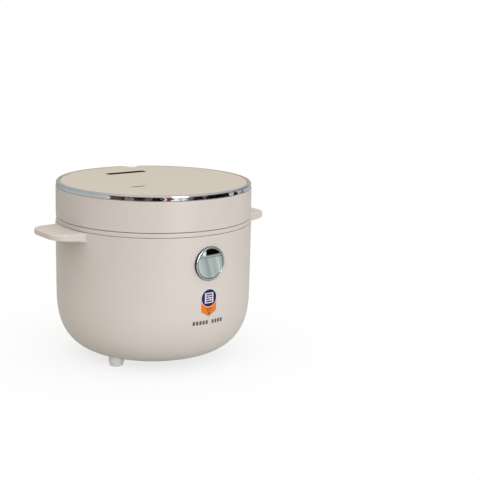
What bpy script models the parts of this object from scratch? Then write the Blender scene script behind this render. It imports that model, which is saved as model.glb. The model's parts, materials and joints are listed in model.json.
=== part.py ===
"""Round electric rice cooker with a flat touch-panel lid, a lift-out pot and a perforated basket with a wire bail.

Everything is modelled about the cooker's own axis, with Z = 0 on the table, the front at -Y and the handles on +-X.
An empty then shifts the whole cooker along Y, so that the origin is the centre of its footprint.
"""

import bmesh
import bpy
from math import cos, pi, radians, sin, tan
from mathutils import Vector

MM = 0.001
STEPS = 36  # facets round every large turned piece
GAP = 0.3 * MM  # between two pieces that touch

# Driving dimensions of the casing
LID_R = 120.0 * MM
TOP_Z = 217.0 * MM
CHROME_LOW_Z = 210.6 * MM
LID_WALL_TOP_Z = 210.2 * MM
LID_LOW_Z = 174.1 * MM
COLLAR_TOP_Z = 173.4 * MM
COLLAR_LOW_Z = 168.4 * MM
COLLAR_R = 119.7 * MM
SHELL_TOP_Z = 167.8 * MM
SHELL_R = 120.5 * MM
SHELL_WALL = 2.4 * MM
LID_WALL = 2.4 * MM

# The bowl-shaped foot of the shell: a superellipse quarter under a slightly drafted wall
BOWL_TOP_Z = 86.2 * MM
BOWL_LOW_Z = 4.8 * MM
BOWL_TOP_R = 120.1 * MM
BOWL_CORE_R = 41.0 * MM
BOWL_POWER = 2.8
BOWL_ROWS = 8
BASE_OPENING_R = 66.0 * MM
LEDGE_R = 52.0 * MM
LEDGE_Z = 9.6 * MM

# Hinge of the lid, behind the casing
HINGE_Y = 131.0 * MM
HINGE_Z = 176.0 * MM
HINGE_PIN_R = 2.0 * MM
HINGE_BORE_R = 2.25 * MM
KNUCKLE_HALF = 12.0 * MM
HINGE_GAP_HALF = 20.8 * MM
HOUSING_HALF = 36.0 * MM
HOUSING_BACK_Y = 138.5 * MM
HOUSING_LOW_Z = 146.0 * MM

# Release button on the front wall and the latch behind it
BUTTON_Z = 135.0 * MM
BUTTON_R = 17.7 * MM
BUTTON_FACE_Y = -122.8 * MM
BEZEL_R = 20.2 * MM
BEZEL_BORE_R = 18.1 * MM
BEZEL_SLEEVE_R = 19.2 * MM
BEZEL_HOLE_R = 19.6 * MM
LATCH_Y = -104.0 * MM
LATCH_PIVOT_Z = 150.0 * MM
LATCH_PIN_R = 1.5 * MM

# Label below the button
BADGE_R = 11.0 * MM
BADGE_HEAD_Z = 93.0 * MM
BADGE_TIP_Z = 71.0 * MM
BADGE_Y = -119.0 * MM
BADGE_SHEET = 0.5 * MM

# Handles: flat wings, a little wider at the root, with an underside that rises towards the tip
HANDLE_HALF_THICK = 6.0 * MM
HANDLE_TIP_X = 154.5 * MM
HANDLE_ROOT_Y = 36.5 * MM
HANDLE_WAIST_Y = 33.5 * MM
HANDLE_CORNER = 20.0 * MM
HANDLE_TIP_LOW_Z = 161.2 * MM
HANDLE_SLOPE = radians(6.3)

# Pot, basket and the well that holds them
WELL_R = 85.0 * MM
WELL_FLANGE_Z = 164.6 * MM
WELL_FLANGE_R = 98.0 * MM
WELL_FLOOR_Z = 44.0 * MM
WELL_SHEET = 0.8 * MM
POT_R = 81.5 * MM
POT_FLANGE_R = 89.5 * MM
POT_FLANGE_Z = 165.0 * MM
POT_BASE_Z = 60.3 * MM
POT_SHEET = 1.6 * MM
POT_CORNER = 27.0 * MM
BASKET_R = 76.5 * MM
BASKET_FLANGE_R = 85.5 * MM
BASKET_FLANGE_Z = 166.9 * MM
BASKET_BASE_Z = 104.5 * MM
BASKET_SHEET = 0.7 * MM
BAIL_Z = 158.0 * MM
BAIL_R = 72.5 * MM
BAIL_WIRE_R = 1.5 * MM
BAIL_REST = radians(46.0)  # how far the bail leans down into the basket

# Heater and the spring-loaded sensor in its middle
HEATER_R = 72.0 * MM
HEATER_TOP_Z = 60.0 * MM
HEATER_LOW_Z = 52.0 * MM
SENSOR_HOLE_R = 19.5 * MM
SENSOR_R = 16.0 * MM

# Steam outlet in the lid
STEAM_Y = 66.0 * MM
STEAM_SLOT = (54.4 * MM, 10.4 * MM)

# Feet, as (angle from the front in degrees)
FOOT_RING_R = 79.0 * MM
FOOT_ANGLES = {
    "foot_front_left": -66.6,
    "foot_front_right": 66.6,
    "foot_rear_left": -135.0,
    "foot_rear_right": 135.0,
}

# Power inlet on the rear wall
INLET_Z = 64.0 * MM
INLET_FACE_Y = 121.0 * MM
INLET_BACK_Y = 101.0 * MM

# The footprint runs from the button's face to the back of the hinge housing
AXIS_Y = -(BUTTON_FACE_Y + HOUSING_BACK_Y) / 2

MATERIALS = {
    "cream_plastic": ((0.79, 0.72, 0.65), 0.42, 0.0),
    "panel_cream": ((0.74, 0.69, 0.62), 0.25, 0.0),
    "chrome": ((0.85, 0.86, 0.88), 0.06, 1.0),
    "steel": ((0.72, 0.72, 0.72), 0.22, 1.0),
    "aluminium": ((0.70, 0.71, 0.73), 0.38, 1.0),
    "pot_coating": ((0.80, 0.73, 0.66), 0.35, 0.0),
    "black_plastic": ((0.03, 0.03, 0.035), 0.5, 0.0),
    "grey_plastic": ((0.62, 0.60, 0.57), 0.5, 0.0),
    "silicone": ((0.80, 0.78, 0.74), 0.6, 0.0),
    "circuit_board": ((0.05, 0.25, 0.12), 0.5, 0.0),
    "wire_red": ((0.55, 0.10, 0.08), 0.45, 0.0),
    "badge": ((0.45, 0.12, 0.55), 0.3, 0.0),
}


def clear_scene():
    for obj in list(bpy.data.objects):
        bpy.data.objects.remove(obj)


def new_collection(name):
    collection = bpy.data.collections.new(name)
    bpy.context.scene.collection.children.link(collection)
    return collection


def material(name):
    made = bpy.data.materials.get(name)
    if made is None:
        colour, roughness, metallic = MATERIALS[name]
        made = bpy.data.materials.new(name)
        made.use_nodes = True
        shader = made.node_tree.nodes["Principled BSDF"]
        shader.inputs["Base Color"].default_value = (*colour, 1.0)
        shader.inputs["Roughness"].default_value = roughness
        shader.inputs["Metallic"].default_value = metallic
    return made


def empty(name, location, parent=None):
    """A joint's axis or the cooker's own axis, at a place given from the cooker's axis."""
    obj = bpy.data.objects.new(name, None)
    PARTS.objects.link(obj)
    obj["place"] = location
    if parent is not None:
        obj.parent = parent
        obj.location = Vector(location) - Vector(parent["place"])
    return obj


def add(name, mesh, surface, parent, collection=None, location=(0, 0, 0)):
    """Puts a mesh or curve in the scene. Its location is given from the cooker's axis, like its parent's."""
    obj = bpy.data.objects.new(name, mesh)
    (collection or PARTS).objects.link(obj)
    obj.parent = parent
    obj.location = Vector(location) - Vector(parent["place"])
    if surface:
        obj.data.materials.append(material(surface))
    if collection is CUTTERS:
        obj.hide_render = True
        obj.display_type = "WIRE"
    return obj


def modifier(obj, kind, **settings):
    made = obj.modifiers.new(kind.title(), kind)
    for key, value in settings.items():
        setattr(made, key, value)
    return made


def turned(name, profile, surface, parent, closed=True, steps=STEPS, collection=None, location=(0, 0, 0)):
    """A profile of (radius, height) points, top to bottom on its outer side, turned about Z."""
    mesh = bpy.data.meshes.new(name)
    points = [(r, 0.0, z) for r, z in profile]
    edges = [(i, i + 1) for i in range(len(points) - 1)]
    on_axis = profile[0][0] == 0 and profile[-1][0] == 0
    if closed and not on_axis:
        edges.append((len(points) - 1, 0))
    mesh.from_pydata(points, edges, [])
    obj = add(name, mesh, surface, parent, collection, location)
    modifier(
        obj, "SCREW", angle=2 * pi, steps=steps, render_steps=steps,
        use_merge_vertices=True, merge_threshold=0.00001, use_smooth_shade=False,
    )
    return obj


def thin_turned(name, profile, sheet, surface, parent, outward=False, **options):
    """An open profile turned about Z and given the thickness of its sheet."""
    obj = turned(name, profile, surface, parent, closed=False, **options)
    modifier(obj, "SOLIDIFY", thickness=sheet, offset=1.0 if outward else -1.0, use_even_offset=True)
    return obj


def box(name, low, high, surface, parent, bevel=0.0, collection=None):
    """A block between two corners given in millimetres from the cooker's axis."""
    low, high = Vector(low) * MM, Vector(high) * MM
    shape = bmesh.new()
    bmesh.ops.create_cube(shape, size=1.0)
    bmesh.ops.scale(shape, vec=high - low, verts=shape.verts)
    mesh = bpy.data.meshes.new(name)
    shape.to_mesh(mesh)
    shape.free()
    obj = add(name, mesh, surface, parent, collection, (low + high) / 2)
    if bevel:
        modifier(obj, "BEVEL", width=bevel, segments=2, limit_method="ANGLE")
    return obj


def rod(name, start, end, radius, surface, parent, end_radius=None, steps=24, collection=None):
    """A cylinder or cone between two points given in millimetres from the cooker's axis."""
    start, end = Vector(start) * MM, Vector(end) * MM
    shape = bmesh.new()
    bmesh.ops.create_cone(
        shape, cap_ends=True, segments=steps, radius1=radius,
        radius2=radius if end_radius is None else end_radius, depth=(end - start).length,
    )
    turn = (end - start).to_track_quat("Z", "Y").to_matrix().to_4x4()
    bmesh.ops.transform(shape, matrix=turn, verts=shape.verts)
    mesh = bpy.data.meshes.new(name)
    shape.to_mesh(mesh)
    shape.free()
    return add(name, mesh, surface, parent, collection, (start + end) / 2)


def wire(name, points, radius, surface, parent, resolution=2):
    """A round wire through points given in metres from the cooker's axis."""
    curve = bpy.data.curves.new(name, "CURVE")
    curve.dimensions = "3D"
    curve.bevel_depth = radius
    curve.bevel_resolution = resolution
    curve.use_fill_caps = True
    spline = curve.splines.new("POLY")
    spline.points.add(len(points) - 1)
    for point, place in zip(spline.points, points):
        point.co = (*place, 1.0)
    return add(name, curve, surface, parent)


def flat_outline(name, outline, half_thick, surface, parent, location):
    """A flat plate with the given outline, as a mesh that Booleans can cut."""
    curve = bpy.data.curves.new(name, "CURVE")
    curve.dimensions = "2D"
    curve.fill_mode = "BOTH"
    curve.extrude = half_thick
    spline = curve.splines.new("POLY")
    spline.points.add(len(outline) - 1)
    for point, (x, y) in zip(spline.points, outline):
        point.co = (x, y, 0, 1)
    spline.use_cyclic_u = True
    plate = bpy.data.objects.new(name + "_outline", curve)
    PARTS.objects.link(plate)
    graph = bpy.context.evaluated_depsgraph_get()
    mesh = bpy.data.meshes.new_from_object(plate.evaluated_get(graph))
    bpy.data.objects.remove(plate)
    shape = bmesh.new()
    shape.from_mesh(mesh)
    bmesh.ops.remove_doubles(shape, verts=shape.verts, dist=0.00001)
    shape.to_mesh(mesh)
    shape.free()
    return add(name, mesh, surface, parent, location=location)


def cut(obj, cutter, operation="DIFFERENCE"):
    modifier(obj, "BOOLEAN", operation=operation, object=cutter, solver="EXACT")


def cutter_box(name, low, high, parent):
    return box(name, low, high, None, parent, collection=CUTTERS)


def cutter_rod(name, start, end, radius, parent, steps=24):
    return rod(name, start, end, radius, None, parent, steps=steps, collection=CUTTERS)


def at_angle(radius, degrees):
    """A place on a circle, by its angle from the front towards +X."""
    return radius * sin(radians(degrees)), -radius * cos(radians(degrees))


def arc(centre, radius, start, end, count):
    """Points (radius, height) on an arc, with the angles in degrees from +X towards +Z."""
    return [
        (centre[0] + radius * cos(radians(a)), centre[1] + radius * sin(radians(a)))
        for a in (start + (end - start) * i / count for i in range(count + 1))
    ]


def bowl_profile(count, grow=0.0):
    """The shell's outer side from its top edge to its base opening, moved outwards by grow."""
    points = [(SHELL_R + grow, SHELL_TOP_Z), (BOWL_TOP_R + grow, BOWL_TOP_Z)]
    width, height = BOWL_TOP_R - BOWL_CORE_R + grow, BOWL_TOP_Z - BOWL_LOW_Z + grow
    opening = ((BASE_OPENING_R - BOWL_CORE_R) / width) ** (BOWL_POWER / 2)
    last = pi / 2 - opening - opening**3 / 6
    for i in range(1, count + 1):
        t = last * i / count
        points.append((
            BOWL_CORE_R + width * cos(t) ** (2 / BOWL_POWER),
            BOWL_TOP_Z - height * sin(t) ** (2 / BOWL_POWER),
        ))
    return points


def casing_envelope(name, grow):
    """A closed solid a little larger than the shell, which shapes the pieces that sit on its outside."""
    top = SHELL_TOP_Z + 60 * MM
    profile = [(0.0, top), (SHELL_R + grow, top), *bowl_profile(BOWL_ROWS, grow)]
    profile.append((0.0, profile[-1][1]))
    return turned(name, profile, None, AXIS, collection=CUTTERS)


def outer_shell():
    profile = bowl_profile(BOWL_ROWS)
    profile += [(profile[-1][0], LEDGE_Z), (LEDGE_R, LEDGE_Z)]
    shell = thin_turned("outer_shell", profile, SHELL_WALL, "cream_plastic", AXIS)
    z = BUTTON_Z / MM
    cut(shell, cutter_rod("button_hole", (0, -126, z), (0, -108, z), BEZEL_HOLE_R, AXIS, steps=32))
    z = INLET_Z / MM
    cut(shell, cutter_box("inlet_hole", (-15, 108, z - 11), (15, 126, z + 11), AXIS))
    for i in range(3):
        x, y = at_angle(58.0, 60 + 120 * i)
        cut(shell, cutter_rod(f"ledge_hole_{i}", (x, y, 4), (x, y, 16), 1.9 * MM, AXIS, steps=12))


def base_plate():
    rim, floor = 65.5 * MM, 7.0 * MM
    profile = [(rim, 9.2 * MM), (rim, 5.0 * MM), (0, 5.0 * MM), (0, floor)]
    profile += [(63.4 * MM, floor), (63.4 * MM, 9.2 * MM)]
    profile = profile[3:] + profile[:3]
    plate = turned("base_plate", profile, "cream_plastic", AXIS)
    for i in range(3):
        x, y = at_angle(58.0, 60 + 120 * i)
        hole = cutter_rod(f"screw_hole_{i}", (x, y, 3), (x, y, 12), 1.9 * MM, AXIS, steps=12)
        cut(plate, hole)
        screw = turned(
            f"base_screw_{i + 1}",
            [(0, 16.0 * MM), (1.5 * MM, 16.0 * MM), (1.5 * MM, 4.7 * MM), (3.4 * MM, 4.7 * MM),
             (2.8 * MM, 3.2 * MM), (0, 3.2 * MM)],
            "steel", AXIS, steps=12, location=(x * MM, y * MM, 0),
        )
        screw.rotation_euler.z = radians(30 * i)
    for i in range(5):
        y = -28 + 14 * i
        cut(plate, cutter_box(f"vent_{i}", (-22, y - 2, 3), (22, y + 2, 12), AXIS))


def feet(envelope):
    for name, angle in FOOT_ANGLES.items():
        x, y = at_angle(FOOT_RING_R, angle)
        profile = [(0, 22.0 * MM), (9.8 * MM, 22.0 * MM), (8.9 * MM, 2.2 * MM), (8.0 * MM, 0.7 * MM)]
        profile += [(6.6 * MM, 0.0), (0, 0.0)]
        foot = turned(name, profile, "silicone", AXIS, steps=20, location=(x, y, 0))
        cut(foot, envelope)


def body_collar():
    """The frame between lid and shell: a visible band, a sloped lead-in for the pot and two skirts."""
    r, top, foot = COLLAR_R / MM, COLLAR_TOP_Z / MM, COLLAR_LOW_Z / MM
    profile = [(r, top), (r, foot), (117.2, foot), (117.2, 160.5), (115.2, 160.5), (115.2, 171.0)]
    profile += [(99.0, 171.0), (94.4, 167.4), (94.4, 165.2), (91.5, 165.2), (91.5, 169.2), (97.5, top)]
    collar = turned("body_collar", [(r * MM, z * MM) for r, z in profile], "cream_plastic", AXIS)
    cut(collar, cutter_box("latch_slot", (-8.5, -112.5, 158), (8.5, -100.8, 180), AXIS))


def handle(side, envelope):
    """A flat wing with a flared root, rounded outer corners and an underside that rises to its tip."""
    flare = [(110.0, HANDLE_ROOT_Y), (119.0, HANDLE_ROOT_Y), (126.0, (HANDLE_ROOT_Y + HANDLE_WAIST_Y) / 2)]
    half = [(x * MM, y) for x, y in flare]
    half += arc((HANDLE_TIP_X - HANDLE_CORNER, HANDLE_WAIST_Y - HANDLE_CORNER), HANDLE_CORNER, 90, 2, 6)
    outline = [(x, -y) for x, y in half] + [(x, y) for x, y in reversed(half)]
    name = "handle_left" if side < 0 else "handle_right"
    place = (0, 0, SHELL_TOP_Z - HANDLE_HALF_THICK)
    obj = flat_outline(name, outline, HANDLE_HALF_THICK, "cream_plastic", AXIS, place)
    if side < 0:
        obj.rotation_euler.z = pi
    half_height, middle = 12.0 * MM, 139.0 * MM
    wedge = box(name + "_wedge", (-40, -60, -12), (40, 60, 12), None, AXIS, collection=CUTTERS)
    upper = HANDLE_TIP_LOW_Z - (HANDLE_TIP_X - middle) * tan(HANDLE_SLOPE)
    wedge.location = (side * middle, 0, upper - half_height / cos(HANDLE_SLOPE))
    wedge.rotation_euler.y = -side * HANDLE_SLOPE
    cut(obj, wedge)
    cut(obj, envelope)


def well():
    """The steel well under the collar, which guides the pot down to the heater."""
    r, flange, floor = WELL_R / MM, WELL_FLANGE_Z / MM, WELL_FLOOR_Z / MM
    profile = [(WELL_FLANGE_R / MM, flange), (r + 1.2, flange), (r + 0.2, flange - 1.0), (r - 0.1, 60.0)]
    profile += [(r - 2.0, floor + 6.5), (r - 8.0, floor + 0.9), (70.0, floor), (22.0, floor)]
    obj = thin_turned("pot_well", [(r * MM, z * MM) for r, z in profile], WELL_SHEET, "steel", AXIS, outward=True)
    for side in (-1, 1):
        hole = cutter_rod(f"terminal_hole_{side}", (side * 16, -45, 38), (side * 16, -45, 50), 5.5 * MM, AXIS, 16)
        cut(obj, hole)


def heater():
    profile = [(SENSOR_HOLE_R, HEATER_TOP_Z), (67.0 * MM, HEATER_TOP_Z), (HEATER_R, HEATER_TOP_Z - 3 * MM)]
    profile += [(HEATER_R, HEATER_LOW_Z), (SENSOR_HOLE_R, HEATER_LOW_Z)]
    turned("heating_plate", profile, "aluminium", AXIS)
    ring_r, ring_z, count = 47.8 * MM, 48.2 * MM, 22
    ring = []
    for i in range(count + 1):
        angle = 24.0 + 312.0 * i / count
        x, y = at_angle(ring_r, angle)
        ring.append((x, y, ring_z))
    first, last = Vector(ring[0]), Vector(ring[-1])
    down = Vector((0, 0, -1.0)) * MM
    ends = [[end + Vector((-end.x * 0.14, 0, 0)) + down * drop for drop in (14, 3)] for end in (first, last)]
    path = [*ends[0], *[Vector(p) for p in ring], *reversed(ends[1])]
    wire("heating_element", path, 3.2 * MM, "steel", AXIS)
    for i in range(3):
        x, y = at_angle(64.0, 60 + 120 * i)
        rod(f"heater_post_{i + 1}", (x, y, 44.3), (x, y, 51.7), 4.0 * MM, "steel", AXIS, steps=12)


def sensor():
    """The cap that the spring presses against the pot's base, with its stem, guide and spring."""
    r = SENSOR_R / MM
    cap = [(0, 60.0), (r - 0.6, 60.0), (r, 59.4), (r, 50.0), (r - 1.2, 50.0), (r - 1.2, 58.6), (5.0, 58.6)]
    cap += [(5.0, 30.0), (0, 30.0)]
    turned("sensor_cap", [(r * MM, z * MM) for r, z in cap], "aluminium", SENSOR_AXIS, steps=24)
    guide = [(27.0, 42.8), (27.0, 41.2), (8.2, 41.2), (8.2, 33.0), (5.6, 33.0), (5.6, 42.8)]
    turned("sensor_guide", [(r * MM, z * MM) for r, z in guide], "steel", AXIS, steps=24)
    wire("sensor_spring", coil(9.5 * MM, 43.9 * MM, 57.6 * MM, 4, (0, 0)), 0.7 * MM, "steel", AXIS)


def coil(radius, low, high, turns, centre, per_turn=8):
    """Points up a round coil about a vertical axis."""
    count = turns * per_turn
    return [
        (centre[0] + radius * cos(2 * pi * turns * i / count), centre[1] + radius * sin(2 * pi * turns * i / count),
         low + (high - low) * i / count)
        for i in range(count + 1)
    ]


def along_y(points, centre_x, centre_z):
    """A coil about Z laid down to run along Y."""
    return [(centre_x + x, y, centre_z + z) for x, z, y in points]


def along_x(points, centre_y, centre_z):
    """A coil about Z laid down to run along X."""
    return [(x, centre_y + y, centre_z + z) for y, z, x in points]


def electrics():
    box("power_board", (-42, -28, 15), (42, 28, 16.6), "circuit_board", AXIS)
    box("relay", (-38, -22, 17), (-20, -4, 32), "black_plastic", AXIS, bevel=0.8 * MM)
    box("transformer", (14, -24, 17), (38, -4, 35), "grey_plastic", AXIS, bevel=0.8 * MM)
    rod("capacitor", (-28, 12, 17), (-28, 12, 33), 6.0 * MM, "black_plastic", AXIS, steps=16)
    rod("thermal_fuse", (30, 40, 39.5), (30, 58, 39.5), 2.6 * MM, "silicone", AXIS, steps=12)
    for side, name in ((-1, "inlet_wire_neutral"), (1, "inlet_wire_live")):
        route = [(7, 96.2, 61), (7, 94.4, 60), (7, 92.6, 57), (7.2, 91.6, 50), (8, 88, 42), (9, 76, 36)]
        route += [(10, 58, 31), (11, 40, 25), (12, 26, 20), (12, 23, 18.2)]
        wire(name, [(side * x * MM, y * MM, z * MM) for x, y, z in route], 1.2 * MM, "wire_red", AXIS)


def power_inlet(envelope):
    """A three-pin socket: a flange on the rear wall, a cup that reaches inside, and its pins."""
    z = INLET_Z / MM
    face, back = INLET_FACE_Y / MM, INLET_BACK_Y / MM
    obj = box("power_inlet", (-18, 108, z - 13.5), (18, face, z + 13.5), "black_plastic", AXIS, bevel=1.0 * MM)
    cut(obj, envelope)
    cup = cutter_box("inlet_cup", (-14.5, back, z - 10.5), (14.5, face - 0.6, z + 10.5), AXIS)
    cut(obj, cup, "UNION")
    cut(obj, cutter_box("inlet_cavity", (-12.2, back + 2.5, z - 8.2), (12.2, face + 4, z + 8.2), AXIS))
    pins = {"inlet_pin_live": (7, -3), "inlet_pin_neutral": (-7, -3), "inlet_pin_earth": (0, 3.5)}
    for name, (x, up) in pins.items():
        hole = cutter_rod(name + "_hole", (x, back - 4, z + up), (x, back + 6, z + up), 2.3 * MM, AXIS, 12)
        cut(obj, hole)
        rod(name, (x, back - 4.3, z + up), (x, back + 11.5, z + up), 2.0 * MM, "steel", AXIS, steps=12)


def release_button(envelope):
    z = BUTTON_Z / MM
    bezel_profile = [(BEZEL_BORE_R, 10.4), (BEZEL_R, 10.4), (BEZEL_R, 4.4), (BEZEL_SLEEVE_R, 4.4)]
    bezel_profile += [(BEZEL_SLEEVE_R, 0.0), (BEZEL_BORE_R, 0.0)]
    bezel = turned(
        "button_bezel", [(r, h * MM) for r, h in bezel_profile], "chrome", AXIS, steps=32,
        location=(0, -112.0 * MM, BUTTON_Z),
    )
    bezel.rotation_euler.x = pi / 2
    skin = turned(
        "bezel_seat", [(0, 20 * MM), (40 * MM, 20 * MM), (40 * MM, -20 * MM), (0, -20 * MM)], None, AXIS,
        steps=32, collection=CUTTERS, location=(0, -112.0 * MM, BUTTON_Z),
    )
    skin.rotation_euler.x = pi / 2
    cut(skin, envelope, "INTERSECT")
    core = cutter_rod("bezel_core", (0, -140, z), (0, -80, z), BEZEL_HOLE_R - 0.1 * MM, AXIS, 32)
    cut(skin, core)
    cut(bezel, skin)

    r = BUTTON_R / MM
    profile = [(0, 0.0), (r - 1.3, 0.0), (r, -1.1), (r, -5.4), (5.0, -5.4), (5.0, -14.2), (2.0, -16.6), (0, -16.8)]
    button = turned(
        "release_button", [(r * MM, h * MM) for r, h in profile], "chrome", BUTTON_AXIS, steps=32,
        location=(0, BUTTON_FACE_Y, BUTTON_Z),
    )
    button.rotation_euler.x = pi / 2
    spring = coil(8.0 * MM, -116.3 * MM, -111.4 * MM, 3, (0, 0))
    wire("button_spring", along_y(spring, 0, BUTTON_Z), 0.5 * MM, "steel", AXIS)


def front_badge(envelope):
    """A thin label on the front wall: a round head over a pennant that ends in a point."""
    head = [
        (BADGE_R * cos(radians(a)), BADGE_HEAD_Z + BADGE_R * sin(radians(a)))
        for a in range(-15, 196, 15)
    ]
    outline = [*head, (0.0, BADGE_TIP_Z)]
    badge = flat_outline("front_badge", outline, 4 * MM, "badge", AXIS, (0, BADGE_Y, 0))
    badge.rotation_euler.x = pi / 2
    cut(badge, casing_envelope("badge_skin", GAP + BADGE_SHEET), "INTERSECT")
    cut(badge, envelope)


def latch():
    """The lever that the button tips: its nose reaches through the collar to the catch in the lid."""
    z = LATCH_PIVOT_Z / MM
    lever = box("latch_lever", (-6, -105.5, 130), (6, -102.5, 182), "grey_plastic", LATCH_AXIS)
    nose = cutter_box("latch_nose", (-6, -104, 179.4), (6, -99.5, 182), LATCH_AXIS)
    boss = cutter_rod("latch_boss", (-6, LATCH_Y / MM, z), (6, LATCH_Y / MM, z), 3.6 * MM, LATCH_AXIS, 16)
    bore = cutter_rod("latch_bore", (-9, LATCH_Y / MM, z), (9, LATCH_Y / MM, z), 1.75 * MM, LATCH_AXIS, 16)
    cut(lever, nose, "UNION")
    cut(lever, boss, "UNION")
    cut(lever, bore)
    rod("latch_pin", (-11.5, LATCH_Y / MM, z), (11.5, LATCH_Y / MM, z), LATCH_PIN_R, "steel", AXIS, steps=16)
    bracket = box("latch_bracket", (-22, -110.9, 116), (22, -109.1, 158), "grey_plastic", AXIS)
    cut(bracket, cutter_rod("stem_hole", (0, -114, 135), (0, -106, 135), 5.6 * MM, AXIS, 20))
    for side in (-1, 1):
        low, high = sorted((side * 7.6, side * 9.8))
        cut(bracket, cutter_box(f"latch_ear_{side}", (low, -110, 143), (high, -99.5, 157), AXIS), "UNION")
    ears_bore = cutter_rod("ears_bore", (-14, LATCH_Y / MM, z), (14, LATCH_Y / MM, z), 1.8 * MM, AXIS, 16)
    cut(bracket, ears_bore)


def hinge(envelope):
    """Housing with two ears behind the casing, pin, springs, and the arm that carries the lid."""
    y, z = HINGE_Y / MM, HINGE_Z / MM
    half, gap, back = HOUSING_HALF / MM, HINGE_GAP_HALF / MM, HOUSING_BACK_Y / MM
    housing = box("hinge_housing", (-half, 110, HOUSING_LOW_Z / MM), (half, back, 167.4), "cream_plastic", AXIS)
    for side in (-1, 1):
        low, high = sorted((side * gap, side * half))
        ear = cutter_rod(f"ear_{side}", (low, y, z), (high, y, z), 7.5 * MM, AXIS, 20)
        web = cutter_box(f"ear_web_{side}", (low, y - 7.5, 165), (high, back, z), AXIS)
        cut(housing, ear, "UNION")
        cut(housing, web, "UNION")
    cut(housing, envelope)
    cut(housing, cutter_rod("housing_bore", (-34.5, y, z), (34.5, y, z), HINGE_BORE_R, AXIS))
    rod("hinge_pin", (-34, y, z), (34, y, z), HINGE_PIN_R, "steel", AXIS)

    knuckle = KNUCKLE_HALF / MM
    arm = box("lid_hinge_arm", (-knuckle, 98, 177.0), (knuckle, y, 182), "grey_plastic", LID_AXIS)
    arm_round = cutter_rod("arm_knuckle", (-knuckle, y, z), (knuckle, y, z), 6.2 * MM, LID_AXIS)
    arm_bore = cutter_rod("arm_bore", (-knuckle - 3, y, z), (knuckle + 3, y, z), HINGE_BORE_R, LID_AXIS)
    cut(arm, arm_round, "UNION")
    cut(arm, arm_bore)
    for side, name in ((-1, "hinge_spring_left"), (1, "hinge_spring_right")):
        turns = coil(4.1 * MM, side * 13.2 * MM, side * 19.4 * MM, 3, (0, 0))
        path = along_x(turns, HINGE_Y, HINGE_Z)
        rest = Vector(path[-1])
        path += [tuple(rest + Vector((0, 0.2, -3.5)) * MM), tuple(rest + Vector((0, 0.2, -7.5)) * MM)]
        wire(name, path, 0.6 * MM, "steel", AXIS)


def lid_casing():
    r, inner = LID_R / MM, (LID_R - LID_WALL) / MM
    top, foot = LID_WALL_TOP_Z / MM, LID_LOW_Z / MM
    profile = [(0, 206.8), (116.6, 206.8), (116.6, top), (r, top), (r, foot), (inner, foot)]
    profile += [(inner, 204.4), (0, 204.4)]
    shell = turned("lid_shell", [(r * MM, z * MM) for r, z in profile], "cream_plastic", LID_AXIS)
    notch = KNUCKLE_HALF / MM + 0.4
    cut(shell, cutter_box("arm_notch", (-notch, 100, 170), (notch, 126, 182.4), LID_AXIS))
    cut(shell, cutter_box("duct_hole", (-30, 58.2, 200), (30, 73.8, 212), LID_AXIS))

    top, foot = TOP_Z / MM, CHROME_LOW_Z / MM
    profile = [(r - 3.4, top), (r - 1.4, top - 0.5), (r - 0.3, top - 1.7), (r, top - 3.1), (r, foot)]
    profile += [(112.4, foot), (112.4, 214.0), (114.9, 214.0), (114.9, top - 0.2)]
    turned("chrome_ring", [(r * MM, z * MM) for r, z in profile], "chrome", LID_AXIS)

    profile = [(0, 216.6), (114.5, 216.6), (114.5, 214.4), (0, 214.4)]
    panel = turned("top_panel", [(r * MM, z * MM) for r, z in profile], "panel_cream", LID_AXIS)
    width, depth = STEAM_SLOT[0] / MM / 2, STEAM_SLOT[1] / MM / 2
    y = STEAM_Y / MM
    cut(panel, cutter_box("steam_slot", (-width, y - depth, 210), (width, y + depth, 220), LID_AXIS))
    box("control_board", (-60, -84, 208.4), (60, -30, 210.0), "circuit_board", LID_AXIS)
    box("display_module", (-26, -60, 210.3), (26, -40, 214.0), "black_plastic", LID_AXIS)


def lid_underside():
    profile = [(0, 176.6), (114.4, 176.6), (114.4, 182.0), (116.4, 182.0), (116.4, 174.6), (0, 174.6)]
    liner = turned("lid_liner", [(r * MM, z * MM) for r, z in profile], "grey_plastic", LID_AXIS)
    cut(liner, cutter_box("hook_slot", (-9.5, -113, 170), (9.5, -94, 180), LID_AXIS))
    cut(liner, cutter_box("steam_hole", (-24, 61, 170), (24, 71, 180), LID_AXIS))
    notch = KNUCKLE_HALF / MM + 0.5
    cut(liner, cutter_box("liner_notch", (-notch, 108, 176.65), (notch, 120, 186), LID_AXIS))

    profile = [(79.4, 170.6), (79.4, 169.6), (65.5, 169.6), (60.0, 171.6), (4.0, 171.6), (4.0, 172.6)]
    profile += [(60.6, 172.6), (66.2, 170.6)]
    plate = turned("inner_lid", [(r * MM, z * MM) for r, z in profile], "aluminium", LID_AXIS)
    for i in range(5):
        x = -24 + 12 * i
        cut(plate, cutter_rod(f"steam_bore_{i}", (x, 46, 165), (x, 46, 180), 2.6 * MM, LID_AXIS, 12))
    cut(plate, cutter_rod("probe_bore", (36, 8, 165), (36, 8, 180), 7.2 * MM, LID_AXIS, 16))
    rod("lid_sensor", (36, 8, 169.2), (36, 8, 174.3), 6.0 * MM, "steel", LID_AXIS, steps=16)

    profile = [(80.0, 174.3), (88.6, 174.3), (88.6, 169.6), (87.2, 168.0), (83.4, 168.0), (80.0, 169.8)]
    turned("lid_seal", [(r * MM, z * MM) for r, z in profile], "silicone", LID_AXIS)
    profile = [(0, 174.3), (3.6, 174.3), (3.6, 171.2), (8.0, 171.2), (7.4, 169.6), (5.0, 168.6), (0, 168.4)]
    turned("lid_grommet", [(r * MM, z * MM) for r, z in profile], "silicone", LID_AXIS, steps=20)
    box("lid_catch", (-15, -99.1, 176.9), (15, -95.1, 179.0), "steel", LID_AXIS)


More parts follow.
